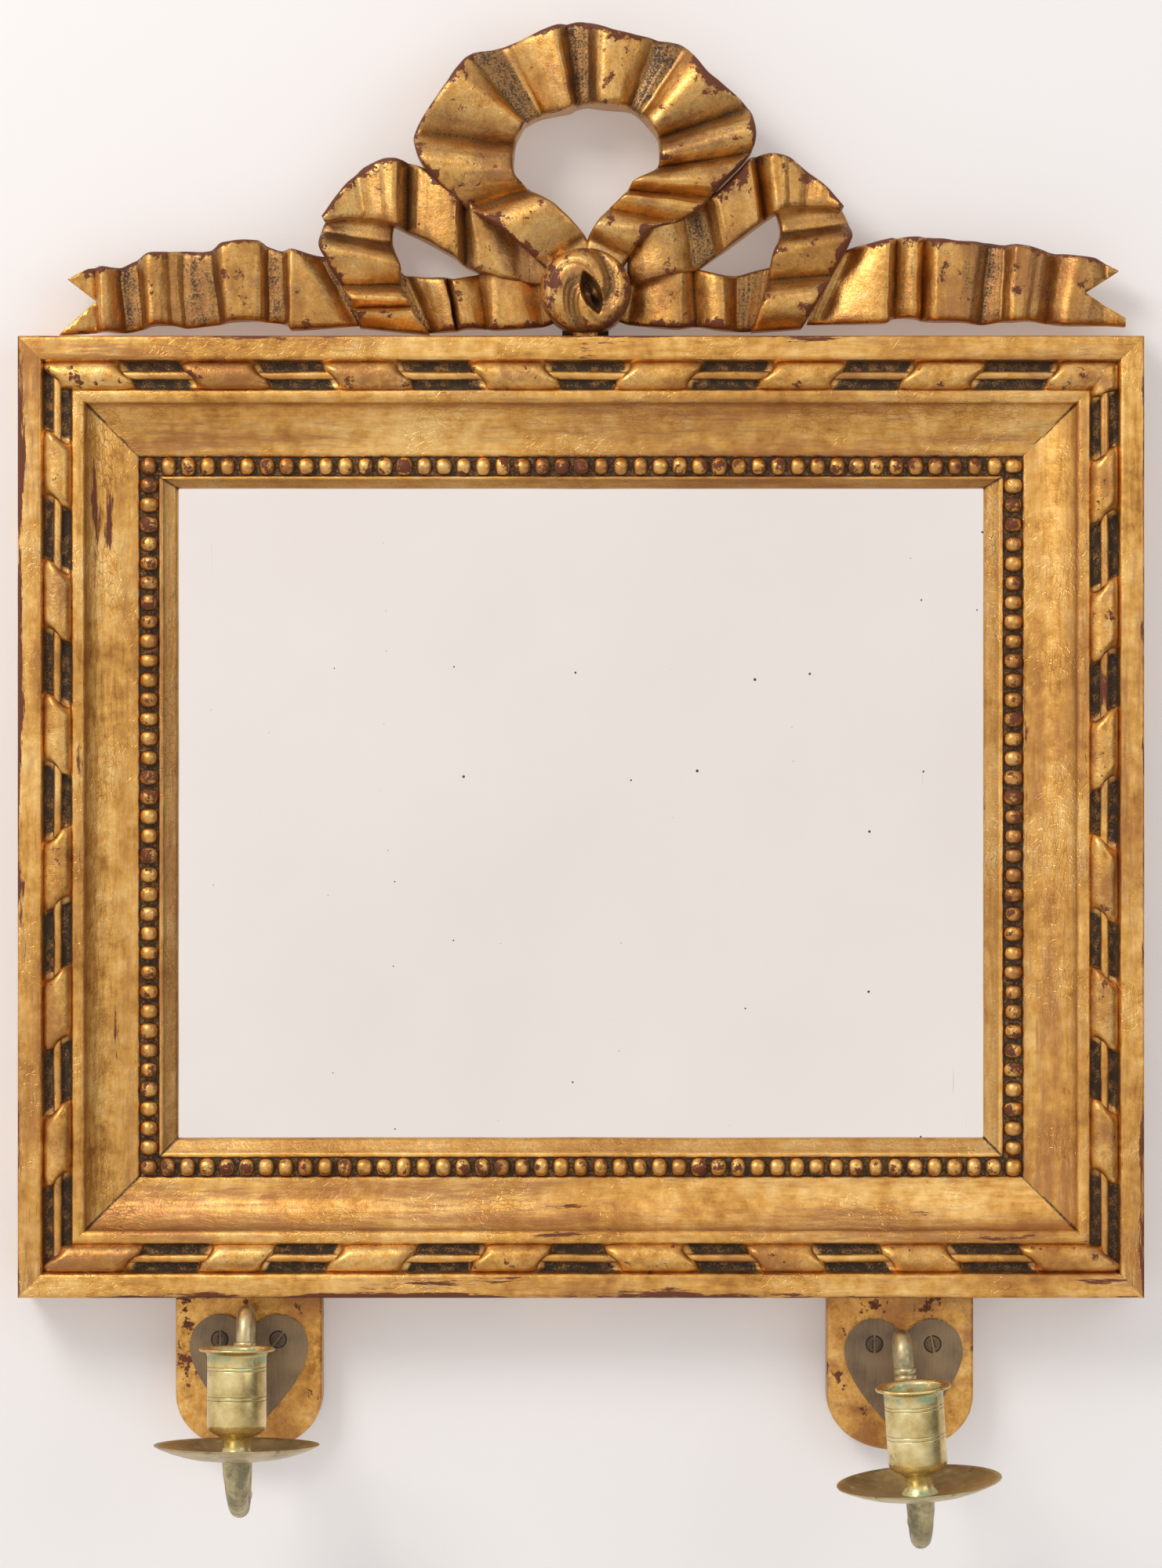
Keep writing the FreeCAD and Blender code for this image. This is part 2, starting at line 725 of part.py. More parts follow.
def hanger_screws(prefix, clearance=0):
    """Two screws through the hanging plate into the top rail."""
    screws = []
    spacing = size("hanger_foot") / 2
    for number, step in enumerate((0.5, 1.5)):
        screw = wood_screw("%s_%d" % (prefix, number), mm("hanger_screw_length"), clearance)
        height = hanger_bottom + spacing * step
        screws.append(place(screw, size("knot_across"), 0, height, INTO_FRAME))
    return screws


def hanger_let_in():
    gap = size("joint_gap")
    seat = block("hanger_seat", size("hanger_width") + gap * 2, size("hanger_thickness") + gap,
                 hanger_eye - hanger_bottom + size("hanger_width"))
    return place(seat, size("knot_across") - size("hanger_width") / 2 - gap, size("hanger_thickness") + gap,
                 hanger_bottom - gap)


def peg(name, clearance=0):
    """The whittled peg that joins the crest to the top rail, standing in its mortise."""
    length = mm("peg_mortise") + mm("knot_rise")
    radius = mm("peg_radius") + clearance
    solid = doc.addObject("Part::Feature", name)
    solid.Shape = faceted_solid([
        ring_of(radius, PEG_SIDES, -clearance),
        ring_of(radius, PEG_SIDES, length + clearance),
    ])
    return place(solid, size("knot_across"), size("rail_depth") / 2, frame_top - size("peg_mortise"))


def lap_housings():
    """The notches behind the bottom rail that the sconce boards are let into."""
    gap = size("joint_gap")
    housings = []
    for side in ("left", "right"):
        notch = block(side + "_lap_housing", size("sconce_width") + gap * 2, size("sconce_thickness") + gap,
                      size("sconce_lap") + gap)
        across = board_across[side] - size("sconce_width") / 2 - gap
        place(notch, across, size("sconce_thickness") + gap, frame_foot)
        housings.append(notch)
    return housings


def make_frame():
    gap = size("joint_gap")
    width, height = size("frame_width"), size("frame_height")
    nail_holes = group("nail_holes", nails_around("nail_hole", mm("joint_gap")))
    rail_plan = (
        ("frame_rail_top", width, size("recess_end_top"), 0, 0, frame_top),
        ("frame_rail_bottom", width, size("recess_end_bottom"), 180, 0, frame_foot),
        ("frame_stile_left", height, size("recess_end_side"), -90, width / -2, 0),
        ("frame_stile_right", height, size("recess_end_side"), 90, width / 2, 0),
    )
    for name, length, end, angle, across, up in rail_plan:
        blank = moulding(name + "_blank", length, (length - end * 2) / 6)
        place(blank, across, 0, up, Rotation(Vector(0, 1, 0), angle))
        holes = [nail_holes]
        if name == "frame_rail_top":
            holes += hanger_screws("hanger_screw_hole", mm("joint_gap"))
            holes += [hanger_let_in(), peg("peg_mortise_hole", mm("peg_gap"))]
        if name == "frame_rail_bottom":
            holes += lap_housings() + sconce_screws("sconce_screw_hole", mm("joint_gap"))
        cutters = fuse(name + "_holes", holes) if len(holes) > 1 else nail_holes
        keep(name, cut(name, blank, cutters))
    keep("back_board_nails", group("back_board_nails", nails_around("board_nail")))


def make_corner_keys():
    """Four thin hardwood keys, glued into the slots across the mitres."""
    keys = []
    thickness = size("key_thickness")
    for side in (-1, 1):
        for end in (-1, 1):
            body = new_body("corner_key_%s_%s" % ("right" if side > 0 else "left", "upper" if end > 0 else "lower"))
            sketch = sketch_on(body, "XZ_Plane", body.Name + "_outline", size("key_setback"))
            corner = (size("frame_width") / 2 * side, size("frame_height") / 2 * end)
            leg = size("key_leg")
            points = [corner, (corner[0] - leg * side, corner[1]), (corner[0], corner[1] - leg * end)]
            add_outline(sketch, points)
            pad(body, sketch, thickness)
            keys.append(body)
    keep("mitre_keys", group("mitre_keys", keys))


def plate_between(name, width, height, back, thickness):
    """A flat board centred behind the opening, its back the given distance from the wall."""
    body = new_body(name)
    sketch = sketch_on(body, "XZ_Plane", name + "_outline", back)
    half_width, half_height = width / 2, height / 2
    corners = [(-half_width, -half_height), (half_width, -half_height), (half_width, half_height),
               (-half_width, half_height)]
    add_outline(sketch, corners)
    pad(body, sketch, thickness)
    return body


def make_glazing():
    gap = size("glass_clearance")
    glass_width = sight_width + (size("glass_lap") - gap) * 2
    glass_height = sight_height + (size("glass_lap") - gap) * 2
    keep("mirror_plate", plate_between("mirror_plate", glass_width, glass_height, glass_back, size("glass_thickness")))

    strip = size("strip_width")
    board_front = size("board_thickness")
    depth = glass_back - board_front
    strips = []
    for name, width, height, across, up in (
        ("top", glass_width, strip, glass_width / -2, glass_height / 2 - strip),
        ("bottom", glass_width, strip, glass_width / -2, glass_height / -2),
        ("left", strip, glass_height - strip * 2, glass_width / -2, strip - glass_height / 2),
        ("right", strip, glass_height - strip * 2, glass_width / 2 - strip, strip - glass_height / 2),
    ):
        strips.append(place(block("glazing_strip_" + name, width, depth, height), across, glass_back, up))
    keep("glazing_strips", group("glazing_strips", strips))

    slack = size("board_clearance")
    reach = size("glass_lap") + size("board_ledge") - slack
    board = plate_between("back_board_blank", sight_width + reach * 2, sight_height + reach * 2, 0, board_front)
    holes = group("board_nail_holes", nails_around("board_nail_hole", mm("joint_gap")))
    keep("back_board", cut("back_board", board, holes))


def make_sconce_board(side):
    """A tongue of gilded wood let in behind the bottom rail, with a rounded lower end."""
    name = "sconce_board_" + side
    body = new_body(name + "_blank")
    half = size("sconce_width") / 2
    top = size("sconce_lap")
    shoulder = -size("sconce_straight")
    sag = size("sconce_drop") - size("sconce_straight")
    radius = rise_radius(size("sconce_width"), sag)
    sketch = sketch_on(body, "XZ_Plane", name + "_outline")
    add_outline(sketch, [(-half, top), (-half, shoulder, radius), (half, shoulder), (half, top)])
    pad(body, sketch, size("sconce_thickness"))
    place(body, board_across[side], 0, frame_foot)
    holes = fuse(name + "_holes", sconce_screws(side + "_board_hole", mm("joint_gap"))
                 + heart_screws(side + "_board_heart_hole", side, mm("joint_gap")))
    return keep(name, cut(name, body, holes))


def heart_screws(prefix, side, clearance=0):
    """Three countersunk screws through the heart-shaped plate, heads flush with its face."""
    places = (
        (size("heart_screw_spread") / -2, size("heart_screw_drop")),
        (size("heart_screw_spread") / 2, size("heart_screw_drop")),
        (as_size(0), size("heart_tip_screw_drop")),
    )
    screws = []
    for number, (across, drop) in enumerate(places):
        screw = wood_screw("%s_%d" % (prefix, number), mm("heart_screw_length"), clearance)
        place(screw, arm_across[side] + across, plate_face, heart_top[side] - drop, INTO_WALL)
        screws.append(screw)
    return screws


def arm_turn(side):
    """How the arm hangs: leaning sideways and tilting toward the viewer, from its worn pivot."""
    lean = Rotation(Vector(0, 1, 0), mm(side + "_lean"))
    tilt = Rotation(Vector(1, 0, 0), mm(side + "_tilt"))
    return lean.multiply(tilt)


def place_on_pivot(obj, side):
    """Moves a piece from the arm's own frame, whose origin is the middle of the pivot socket."""
    return place(obj, arm_across[side], pivot_depth, socket_height[side], arm_turn(side))


def make_heart_plate(side):
    """The heart-shaped brass plate with its cast socket for the arm's pin."""
    name = "heart_plate_" + side
    body = new_body(name + "_outline")
    half = size("heart_width") / 2
    sketch = sketch_on(body, "XZ_Plane", name + "_heart", size("sconce_thickness"))
    lobe = chord_radius(half, size("heart_shoulder") - size("heart_cleft"), 0.505)
    flank = chord_radius(half, size("heart_height") - size("heart_shoulder"), 1.05)
    points = [
        (0, -size("heart_cleft"), lobe),
        (-half, -size("heart_shoulder"), flank),
        (0, -size("heart_height"), flank),
        (half, -size("heart_shoulder"), lobe),
    ]
    add_outline(sketch, points)
    pad(body, sketch, size("heart_thickness"))
    place(body, arm_across[side], 0, heart_top[side])

    half_length = mm("socket_length") / 2
    tube = doc.addObject("Part::Feature", name + "_socket")
    tube.Shape = faceted_solid([ring_of(mm("socket_radius"), PEG_SIDES, height) for height in (-half_length, half_length)])
    web = block(name + "_web", size("socket_web"), size("socket_standoff") + 0.4, size("socket_length") * 0.8)
    place(web, size("socket_web") / -2, 0, size("socket_length") * -0.4)
    boss = place_on_pivot(fuse(name + "_boss", [tube, web]), side)
    bore = cylinder(name + "_bore", size("pin_radius") + size("pin_running_gap"), size("socket_length") * 2)
    place(bore, 0, 0, -size("socket_length"))
    reamer = place_on_pivot(group(name + "_reamer", [bore]), side)
    behind_plate = block(name + "_behind", size("heart_width"), size("sconce_thickness"), size("heart_height"))
    place(behind_plate, arm_across[side] - half, size("sconce_thickness"), heart_top[side] - size("heart_height"))
    holes = heart_screws(name + "_hole", side, mm("joint_gap"))
    cutters = fuse(name + "_cutters", [reamer, behind_plate] + holes)
    keep(name, cut(name, fuse(name + "_casting", [body, boss]), cutters))
    keep("heart_screws_" + side, group("heart_screws_" + side, heart_screws(side + "_heart_screw", side)))


def rod_solid(stations, steps, sides, steady, ends):
    """A rod along a smooth flat route through (point, radius) stations.

    The steady direction is the route plane's normal, and keeps the rings from turning.
    The ends are the directions in which the route sets out and arrives."""
    curve = Part.BSplineCurve()
    points = [point for point, radius in stations]
    curve.interpolate(Points=points, InitialTangent=ends[0], FinalTangent=ends[1])
    marks = [curve.parameter(point) for point, radius in stations]
    radii = [radius for point, radius in stations]
    length = curve.length()
    rings = []
    for step in range(steps + 1):
        at = curve.parameterAtDistance(length * step / steps, curve.FirstParameter)
        radius = value_between(marks, radii, at)
        turn = Rotation(steady, Vector(), curve.tangent(at)[0], "ZXY")
        middle = curve.value(at)
        rings.append([middle + turn.multVec(corner) for corner in ring_of(radius, sides, 0)])
    return faceted_solid(rings)


def value_between(marks, values, at):
    """The value at a point of a route, in proportion between the two marks beside it."""
    for k in range(len(marks) - 1):
        if at <= marks[k + 1]:
            share = (at - marks[k]) / (marks[k + 1] - marks[k])
            return values[k] * (1 - share) + values[k + 1] * share
    return values[-1]


def round_knob(radius):
    rings = []
    for k in range(KNOB_BANDS + 1):
        angle = math.pi * (k + 0.25) / (KNOB_BANDS + 0.5)
        rings.append(ring_of(radius * math.sin(angle), STRAND_SIDES, -radius * math.cos(angle)))
    return faceted_solid(rings)


def arm_stations():
    """The swan-neck: over the elbow, down the bar, round the foot and up the flared leg."""
    bar, elbow = mm("bar_radius"), mm("elbow_radius")
    rise, reach, drop = mm("elbow_rise"), mm("arm_reach"), mm("foot_drop")
    half_foot = mm("foot_width") / 2
    shoulder = mm("socket_length") / 2 + mm("shoulder_gap")
    stations = [(Vector(0, 0, shoulder), bar), (Vector(0, 0, (shoulder + rise) / 2), bar)]
    for step in range(5):
        angle = math.pi * step / 4
        stations.append((Vector(0, -elbow * (1 - math.cos(angle)), rise + elbow * math.sin(angle)), bar))
    foot_middle = reach - half_foot
    leg_radius = mm("leg_top_radius")
    pan_seat = mm("pan_height") - mm("pan_thickness")
    lift = drop + pan_seat
    for across, height, radius in (
        (foot_middle - half_foot * 1.12, -drop * 0.38, bar),
        (foot_middle - half_foot, -drop * 0.68, bar),
        (foot_middle - half_foot * 0.58, -drop * 0.93, bar),
        (foot_middle, -drop, bar),
        (foot_middle + half_foot * 0.6, lift * 0.17 - drop, bar * 1.08),
        (foot_middle + half_foot * 0.93, lift * 0.48 - drop, bar * 1.25),
        (reach, lift * 0.78 - drop, leg_radius * 0.95),
    ):
        stations.append((Vector(0, -across, height), radius))
    stations.append((Vector(0, -reach, pan_seat), leg_radius))
    return stations


def make_arm(side):
    name = "candle_arm_" + side
    swan_neck = doc.addObject("Part::Feature", name + "_neck")
    stations = arm_stations()
    upwards = Vector(0, 0, 1)
    swan_neck.Shape = rod_solid(stations, ARM_SECTIONS, ROD_SIDES, Vector(1, 0, 0), (upwards, upwards))

    pin_length = size("socket_length") + size("shoulder_gap") + size("pin_overhang")
    pin = cylinder(name + "_pin", size("pin_radius"), pin_length + 1)
    place(pin, 0, 0, size("socket_length") / -2 - size("pin_overhang"))

    rings = []
    for number in range(2):
        ring = doc.addObject("Part::Feature", "%s_ring_%d" % (name, number))
        half = mm("ring_width") / 2
        ring.Shape = faceted_solid([
            ring_of(mm("bar_radius"), ROD_SIDES, -half),
            ring_of(mm("ring_radius"), ROD_SIDES, 0),
            ring_of(mm("bar_radius"), ROD_SIDES, half),
        ])
        height = size("elbow_rise") - size("ring_drop") - size("ring_width") * (1.2 * number)
        rings.append(place(ring, 0, size("elbow_radius") * 2, height))
    knob = doc.addObject("Part::Feature", name + "_knob")
    knob.Shape = round_knob(mm("knob_radius"))
    knob_depth = size("arm_reach") - size("foot_width") + size("knob_radius") * 0.25
    place(knob, 0, knob_depth, size("foot_drop") * -0.93)

    tapped = cylinder(name + "_tapped", size("stem_radius") + size("stem_gap"), size("stem_length") * 2)
    place(tapped, 0, size("arm_reach"), size("pan_height") - size("stem_length") - size("stem_gap"))
    casting = fuse(name + "_casting", [swan_neck, pin, knob] + rings)
    keep(name, place_on_pivot(cut(name, casting, tapped), side))


def turned_solid(profile):
    """A turned piece on the Z axis, from its (radius, height) profile, foot first."""
    return faceted_solid([ring_of(radius, TURNING_SIDES, height) for radius, height in profile])


def seat_on_arm(obj):
    """Stands a turned piece on the end of the arm, still in the arm's own frame."""
    return place(obj, 0, size("arm_reach"), size("pan_height"))


def make_drip_pan(side):
    """A shallow spun dish with a flat hub and a hole for the nozzle's stem."""
    name = "drip_pan_" + side
    hub, rim, rise, thickness = mm("pan_hub_radius"), mm("pan_radius"), mm("pan_rise"), mm("pan_thickness")
    shares = [k / PAN_FACETS for k in range(PAN_FACETS + 1)]
    under = [(hub + (rim - hub) * share, rise * share ** 2 - thickness * (1 - 0.5 * share)) for share in shares]
    upper = [(hub + (rim - hub) * share, rise * share ** 2) for share in reversed(shares)]
    dish = doc.addObject("Part::Feature", name + "_dish")
    dish.Shape = turned_solid([(mm("stem_radius"), -thickness)] + under + upper + [(mm("stem_radius"), 0)])
    hole = cylinder(name + "_hole", size("stem_radius") + size("stem_gap"), size("pan_thickness") * 4)
    place(hole, 0, 0, size("pan_thickness") * -2)
    seated = group(name + "_seated", [seat_on_arm(cut(name + "_drilled", dish, hole))])
    keep(name, place_on_pivot(seated, side))


def make_nozzle(side):
    """The turned candle nozzle: flanged rim, cup, rounded bottom, waisted neck and stem."""
    name = "candle_nozzle_" + side
    stem, neck, cup = mm("stem_radius"), mm("neck_radius"), mm("cup_radius")
    neck_top, curve = mm("neck_length"), mm("cup_round")
    cup_top = neck_top + mm("cup_length")
    lip = mm("rim_thickness")
    turning = doc.addObject("Part::Feature", name + "_turning")
    turning.Shape = turned_solid([
        (stem, -mm("stem_length")),
        (stem, 0),
        (neck * 1.3, 0),
        (neck, neck_top * 0.45),
        (neck, neck_top),
        (neck + (cup - neck) * 0.72, neck_top + curve * 0.42),
        (cup, neck_top + curve),
        (cup, cup_top - lip * 2),
        (mm("rim_radius"), cup_top - lip),
        (mm("rim_radius"), cup_top),
    ])
    bore = cylinder(name + "_bore", size("cup_bore_radius"), size("cup_bore_depth") * 2)
    place(bore, 0, 0, size("neck_length") + size("cup_length") - size("cup_bore_depth"))
    seated = group(name + "_seated", [seat_on_arm(cut(name + "_bored", turning, bore))])
    keep(name, place_on_pivot(seated, side))


def ribbon_band(folds, front):
    """A folded band of the ribbon, in two lengths, so that a loop may cross its own start."""
    back = mm("crest_ribbon_back")
    sections = []
    for across, height, inner_across, inner_height, share in folds:
        depth = front + mm("pleat_depth") * share
        outer = Vector(across, -depth, frame_top.value + height)
        inner = Vector(inner_across, -depth, frame_top.value + inner_height)
        sections.append([outer, inner, Vector(inner.x, -back, inner.z), Vector(outer.x, -back, outer.z)])
    middle = len(sections) // 2
    return faceted_solid(sections[:middle + 1]).fuse(faceted_solid(sections[middle:]))


def corner_cut(corners):
    """A three-cornered cut through a streamer, for its swallow-tail or one of its tips."""
    points = [Vector(across, 0, frame_top.value + height) for across, height in corners]
    face = Part.Face(Part.makePolygon(points + points[:1]))
    return face.extrude(Vector(0, -mm("rail_depth") * 2, 0))


def streamer(folds, cuts):
    band = ribbon_band(folds, mm("streamer_front"))
    for corners in cuts:
        band = band.cut(corner_cut(corners))
    return band


def knot_strand(start_angle):
    """One of the strands that swirl round the knot's eye, thick in the middle and thin at its ends."""
    centre = Vector(mm("knot_across"), 0, knot_centre.value)
    thick = mm("knot_strand_radius")
    ring_radius = mm("knot_radius") - thick
    depth = mm("crest_back") + mm("knot_body_depth")
    sweep = math.radians(250)
    stations = []
    for step in range(KNOT_STRAND_SECTIONS + 1):
        share = step / KNOT_STRAND_SECTIONS
        angle = start_angle + sweep * share
        away = ring_radius * (1 - 0.42 * share)
        radius = thick * (0.35 + 0.65 * math.sin(math.pi * min(1.0, 0.18 + 0.82 * share)))
        offset = Vector(math.cos(angle) * away, 0, math.sin(angle) * away)
        lift = Vector(0, -depth - thick * 0.25, 0)
        stations.append((centre + offset + lift, radius))
    ends = [Vector(-math.sin(angle), 0, math.cos(angle)) for angle in (start_angle, start_angle + sweep)]
    return rod_solid(stations, KNOT_STRAND_SECTIONS, STRAND_SIDES, Vector(0, 1, 0), ends)


def make_crest():
    side_front, lower_front = mm("side_loop_front"), mm("lower_loop_front")
    bands = [
        ribbon_band(MAIN_FOLDS, mm("main_loop_front")),
        ribbon_band(LEFT_UPPER_FOLDS, side_front),
        ribbon_band(LEFT_TURN_FOLDS, side_front),
        ribbon_band(LEFT_LOWER_FOLDS, lower_front),
        ribbon_band(RIGHT_UPPER_FOLDS, side_front),
        ribbon_band(RIGHT_TURN_FOLDS, side_front),
        ribbon_band(RIGHT_LOWER_FOLDS, lower_front),
        streamer(LEFT_STREAMER_FOLDS, (LEFT_NOTCH, LEFT_TIPS)),
        streamer(RIGHT_STREAMER_FOLDS, (RIGHT_NOTCH, RIGHT_TIPS)),
    ]
    ribbon = bands[0]
    for band in bands[1:]:
        ribbon = ribbon.fuse(band)
    carving = doc.addObject("Part::Feature", "crest_ribbon_carving")
    carving.Shape = ribbon
    seat = doc.addObject("Part::Feature", "knot_seat")
    seat.Shape = turned_solid([(mm("knot_radius"), 0), (mm("knot_radius"), mm("rail_depth") * 2)])
    place(seat, size("knot_across"), size("crest_back"), knot_centre, Rotation(Vector(1, 0, 0), 90))
    keep("crest_ribbon", cut("crest_ribbon", carving, seat))

    body = doc.addObject("Part::Feature", "knot_body")
    body.Shape = turned_solid([(mm("knot_radius"), 0), (mm("knot_radius"), mm("knot_body_depth"))])
    place(body, size("knot_across"), size("crest_back"), knot_centre, Rotation(Vector(1, 0, 0), 90))
    strands = []
    for number in range(KNOT_STRANDS):
        strand = doc.addObject("Part::Feature", "knot_strand_%d" % number)
        strand.Shape = knot_strand(math.radians(200) + 2 * math.pi * number / KNOT_STRANDS)
        strands.append(strand)
    nail_pocket = cylinder("nail_pocket", size("hanger_pocket_radius"), size("hanger_pocket_depth"))
    place(nail_pocket, size("knot_across"), size("crest_back"), hanger_eye,
          Rotation(Vector(1, 0, 0), 90))
    cutters = fuse("knot_cutters", [nail_pocket, peg("knot_peg_hole", mm("peg_gap"))])
    keep("crest_knot", cut("crest_knot", fuse("knot_carving", [body] + strands), cutters))
    keep("crest_peg", peg("crest_peg"))


def make_hanger():
    """The flat iron plate let in flush behind the top rail and the knot, with the eye it hangs by."""
    body = new_body("hanging_plate_blank")
    half = size("hanger_width") / 2
    across = size("knot_across")
    sketch = sketch_on(body, "XZ_Plane", "hanging_plate_outline")
    bottom = hanger_bottom + size("joint_gap")
    add_outline(sketch, [(across - half, bottom), (across + half, bottom), (across + half, hanger_eye, half * 1.001),
                         (across - half, hanger_eye)])
    add_circle(sketch, across, hanger_eye, size("hanger_eye_radius"))
    pad(body, sketch, size("hanger_thickness"))
    holes = fuse("hanging_plate_holes", hanger_screws("hanging_plate_hole", mm("joint_gap")))
    keep("hanging_plate", cut("hanging_plate", body, holes))
    keep("hanging_screws", group("hanging_screws", hanger_screws("hanging_screw")))


def export_nodes():
    doc.recompute()
    problems = []
    for obj in doc.Objects:
        if "Invalid" in obj.State or "Error" in obj.State:
            problems.append("%s is %s" % (obj.Name, ", ".join(obj.State)))
    for name, obj in nodes.items():
        if obj.Shape.isNull() or not obj.Shape.isValid() or not obj.Shape.Solids:
            problems.append("%s has no valid solid" % name)
    if problems:
        raise RuntimeError("; ".join(problems))
    os.makedirs("parts", exist_ok=True)
    for name, obj in nodes.items():
        solids = obj.Shape.Solids
        print("%-22s %2d solids %10.1f mm3 %s" % (name, len(solids), obj.Shape.Volume, obj.Shape.BoundBox))
        obj.Shape.exportStep("parts/%s.step" % name)


make_frame()
make_corner_keys()
make_glazing()
keep("sconce_screws", group("sconce_screws", sconce_screws("sconce_screw")))
for hand in ("left", "right"):
    make_sconce_board(hand)
    make_heart_plate(hand)
    make_arm(hand)
    make_drip_pan(hand)
    make_nozzle(hand)
make_crest()
make_hanger()
export_nodes()
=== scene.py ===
import math

import bpy
import numpy as np
from mathutils import Matrix, Vector, noise


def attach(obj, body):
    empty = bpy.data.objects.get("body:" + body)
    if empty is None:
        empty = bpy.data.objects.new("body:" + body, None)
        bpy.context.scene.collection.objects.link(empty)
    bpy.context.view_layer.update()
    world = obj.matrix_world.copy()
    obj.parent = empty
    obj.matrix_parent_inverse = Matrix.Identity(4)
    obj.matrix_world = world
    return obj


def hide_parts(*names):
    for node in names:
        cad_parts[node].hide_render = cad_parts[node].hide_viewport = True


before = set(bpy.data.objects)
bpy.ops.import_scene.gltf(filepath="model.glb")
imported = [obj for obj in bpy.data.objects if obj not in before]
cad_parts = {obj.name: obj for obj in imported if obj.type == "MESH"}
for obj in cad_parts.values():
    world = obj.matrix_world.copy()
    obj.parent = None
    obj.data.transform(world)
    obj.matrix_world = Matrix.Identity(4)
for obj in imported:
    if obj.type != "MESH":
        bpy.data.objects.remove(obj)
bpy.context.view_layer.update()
mm = 0.001   # sizes below are written in millimetres, except where a note says metres


def addObject(name, data):
    obj = bpy.data.objects.new(name, data)
    bpy.context.scene.collection.objects.link(obj)
    return obj


# the camera stands where the photograph was taken from, square to the frame
cameraSpot = {
    "height": 14.0, "frontPlane": 34.0, "distance": 2100.0, "mmPerPixel": 0.3338, "pixelsTall": 2000,
    "sensor": 36.0, "nearest": 0.05, "farthest": 30.0,   # the last two in metres
}
camData = bpy.data.cameras.new("photoCamera")
camera = addObject("photoCamera", camData)
camera.location = (0, -(cameraSpot["frontPlane"] + cameraSpot["distance"]) * mm, cameraSpot["height"] * mm)
camera.rotation_euler = (math.radians(90), 0, 0)
shotHeight = cameraSpot["pixelsTall"] * cameraSpot["mmPerPixel"]   # measured at the frame's front
camData.sensor_width = cameraSpot["sensor"]
camData.lens = cameraSpot["sensor"] * cameraSpot["distance"] / shotHeight
camData.clip_start = cameraSpot["nearest"]
camData.clip_end = cameraSpot["farthest"]
bpy.context.scene.camera = camera
print("camera placed")


def putMesh(name, points, faces, material, sharp=50):
    mesh = bpy.data.meshes.new(name)
    mesh.from_pydata([tuple(Vector(p) * mm) for p in points], [], faces)
    mesh.polygons.foreach_set("use_smooth", [True] * len(mesh.polygons))
    mesh.materials.append(material)
    mesh.update()
    mesh.set_sharp_from_angle(angle=math.radians(sharp))
    return addObject(name, mesh)


def gridFaces(rows, cols, loopCols=False):
    faces = []
    for r in range(rows - 1):
        for c in range(cols if loopCols else cols - 1):
            c2 = (c + 1) % cols
            faces.append((r * cols + c, r * cols + c2, (r + 1) * cols + c2, (r + 1) * cols + c))
    return faces


def tubeFaces(rows, cols):   # rings joined all round and closed at both ends
    ends = [tuple(range(cols))[::-1], tuple((rows - 1) * cols + c for c in range(cols))]
    return gridFaces(rows, cols, loopCols=True) + ends


def rimOf(rows, cols):   # the closing face behind an open grid
    there = list(range(cols)) + [r * cols + cols - 1 for r in range(1, rows)]
    back = [(rows - 1) * cols + c for c in range(cols - 2, -1, -1)]
    back += [r * cols for r in range(rows - 2, 0, -1)]
    return tuple((there + back)[::-1])


def paint(obj, **layers):   # grime with painted shade in one layer, and rubbing ("wear"), one value for each point
    for name, values in layers.items():
        layer = obj.data.attributes.new(name, "FLOAT", "POINT")
        layer.data.foreach_set("value", np.asarray(values, dtype=np.float32))


def flowMap(obj, places):   # a UV map in metres, along and across the moulding
    corner = np.zeros(len(obj.data.loops), np.int32)
    obj.data.loops.foreach_get("vertex_index", corner)
    layer = obj.data.uv_layers.new(name="flow")
    layer.data.foreach_set("uv", (np.asarray(places, np.float32)[corner] * mm).ravel())


def pick(pieces):   # selected, with the first one active
    bpy.ops.object.select_all(action="DESELECT")
    for piece in pieces:
        piece.select_set(True)
    bpy.context.view_layer.objects.active = pieces[0]


def joinPieces(name, pieces):
    pick(pieces)
    if len(pieces) > 1:
        bpy.ops.object.join()
    pieces[0].name = name
    pieces[0].data.name = name
    return pieces[0]


def facesOut(obj):
    pick([obj])
    bpy.ops.object.mode_set(mode="EDIT")
    bpy.ops.mesh.select_all(action="SELECT")
    bpy.ops.mesh.normals_make_consistent(inside=False)
    bpy.ops.object.mode_set(mode="OBJECT")
    return obj


def settle(obj):   # the evaluated shape as a plain mesh, with no modifiers left
    graph = bpy.context.evaluated_depsgraph_get()
    shape = obj.evaluated_get(graph)
    plain = bpy.data.meshes.new_from_object(shape, preserve_all_data_layers=True, depsgraph=graph)
    obj.modifiers.clear()
    obj.data = plain
    plain.name = obj.name
    return obj


def carveOut(obj, cutter):   # takes the cutter's shape out of a solid
    modifier = obj.modifiers.new("cut", "BOOLEAN")
    modifier.operation = "DIFFERENCE"
    modifier.solver = "EXACT"
    modifier.object = cutter
    settle(obj)
    bpy.data.objects.remove(cutter)
    return obj


def onBody(obj, body, slot, *nodes):
    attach(obj, body)
    if nodes:
        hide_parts(*nodes)
    return obj


def wobble(x, y, z, size, amount):
    return noise.noise(Vector((x / size, y / size, z / size))) * amount


def easeBetween(a, b, t):
    return a + (b - a) * (3 * t * t - 2 * t * t * t)


# material helpers: a value may be a plain number, a colour or another node's socket
def feed(tree, target, source):
    if isinstance(source, bpy.types.NodeSocket):
        tree.links.new(source, target)
    else:
        target.default_value = (*source, 1) if target.type == "RGBA" else source


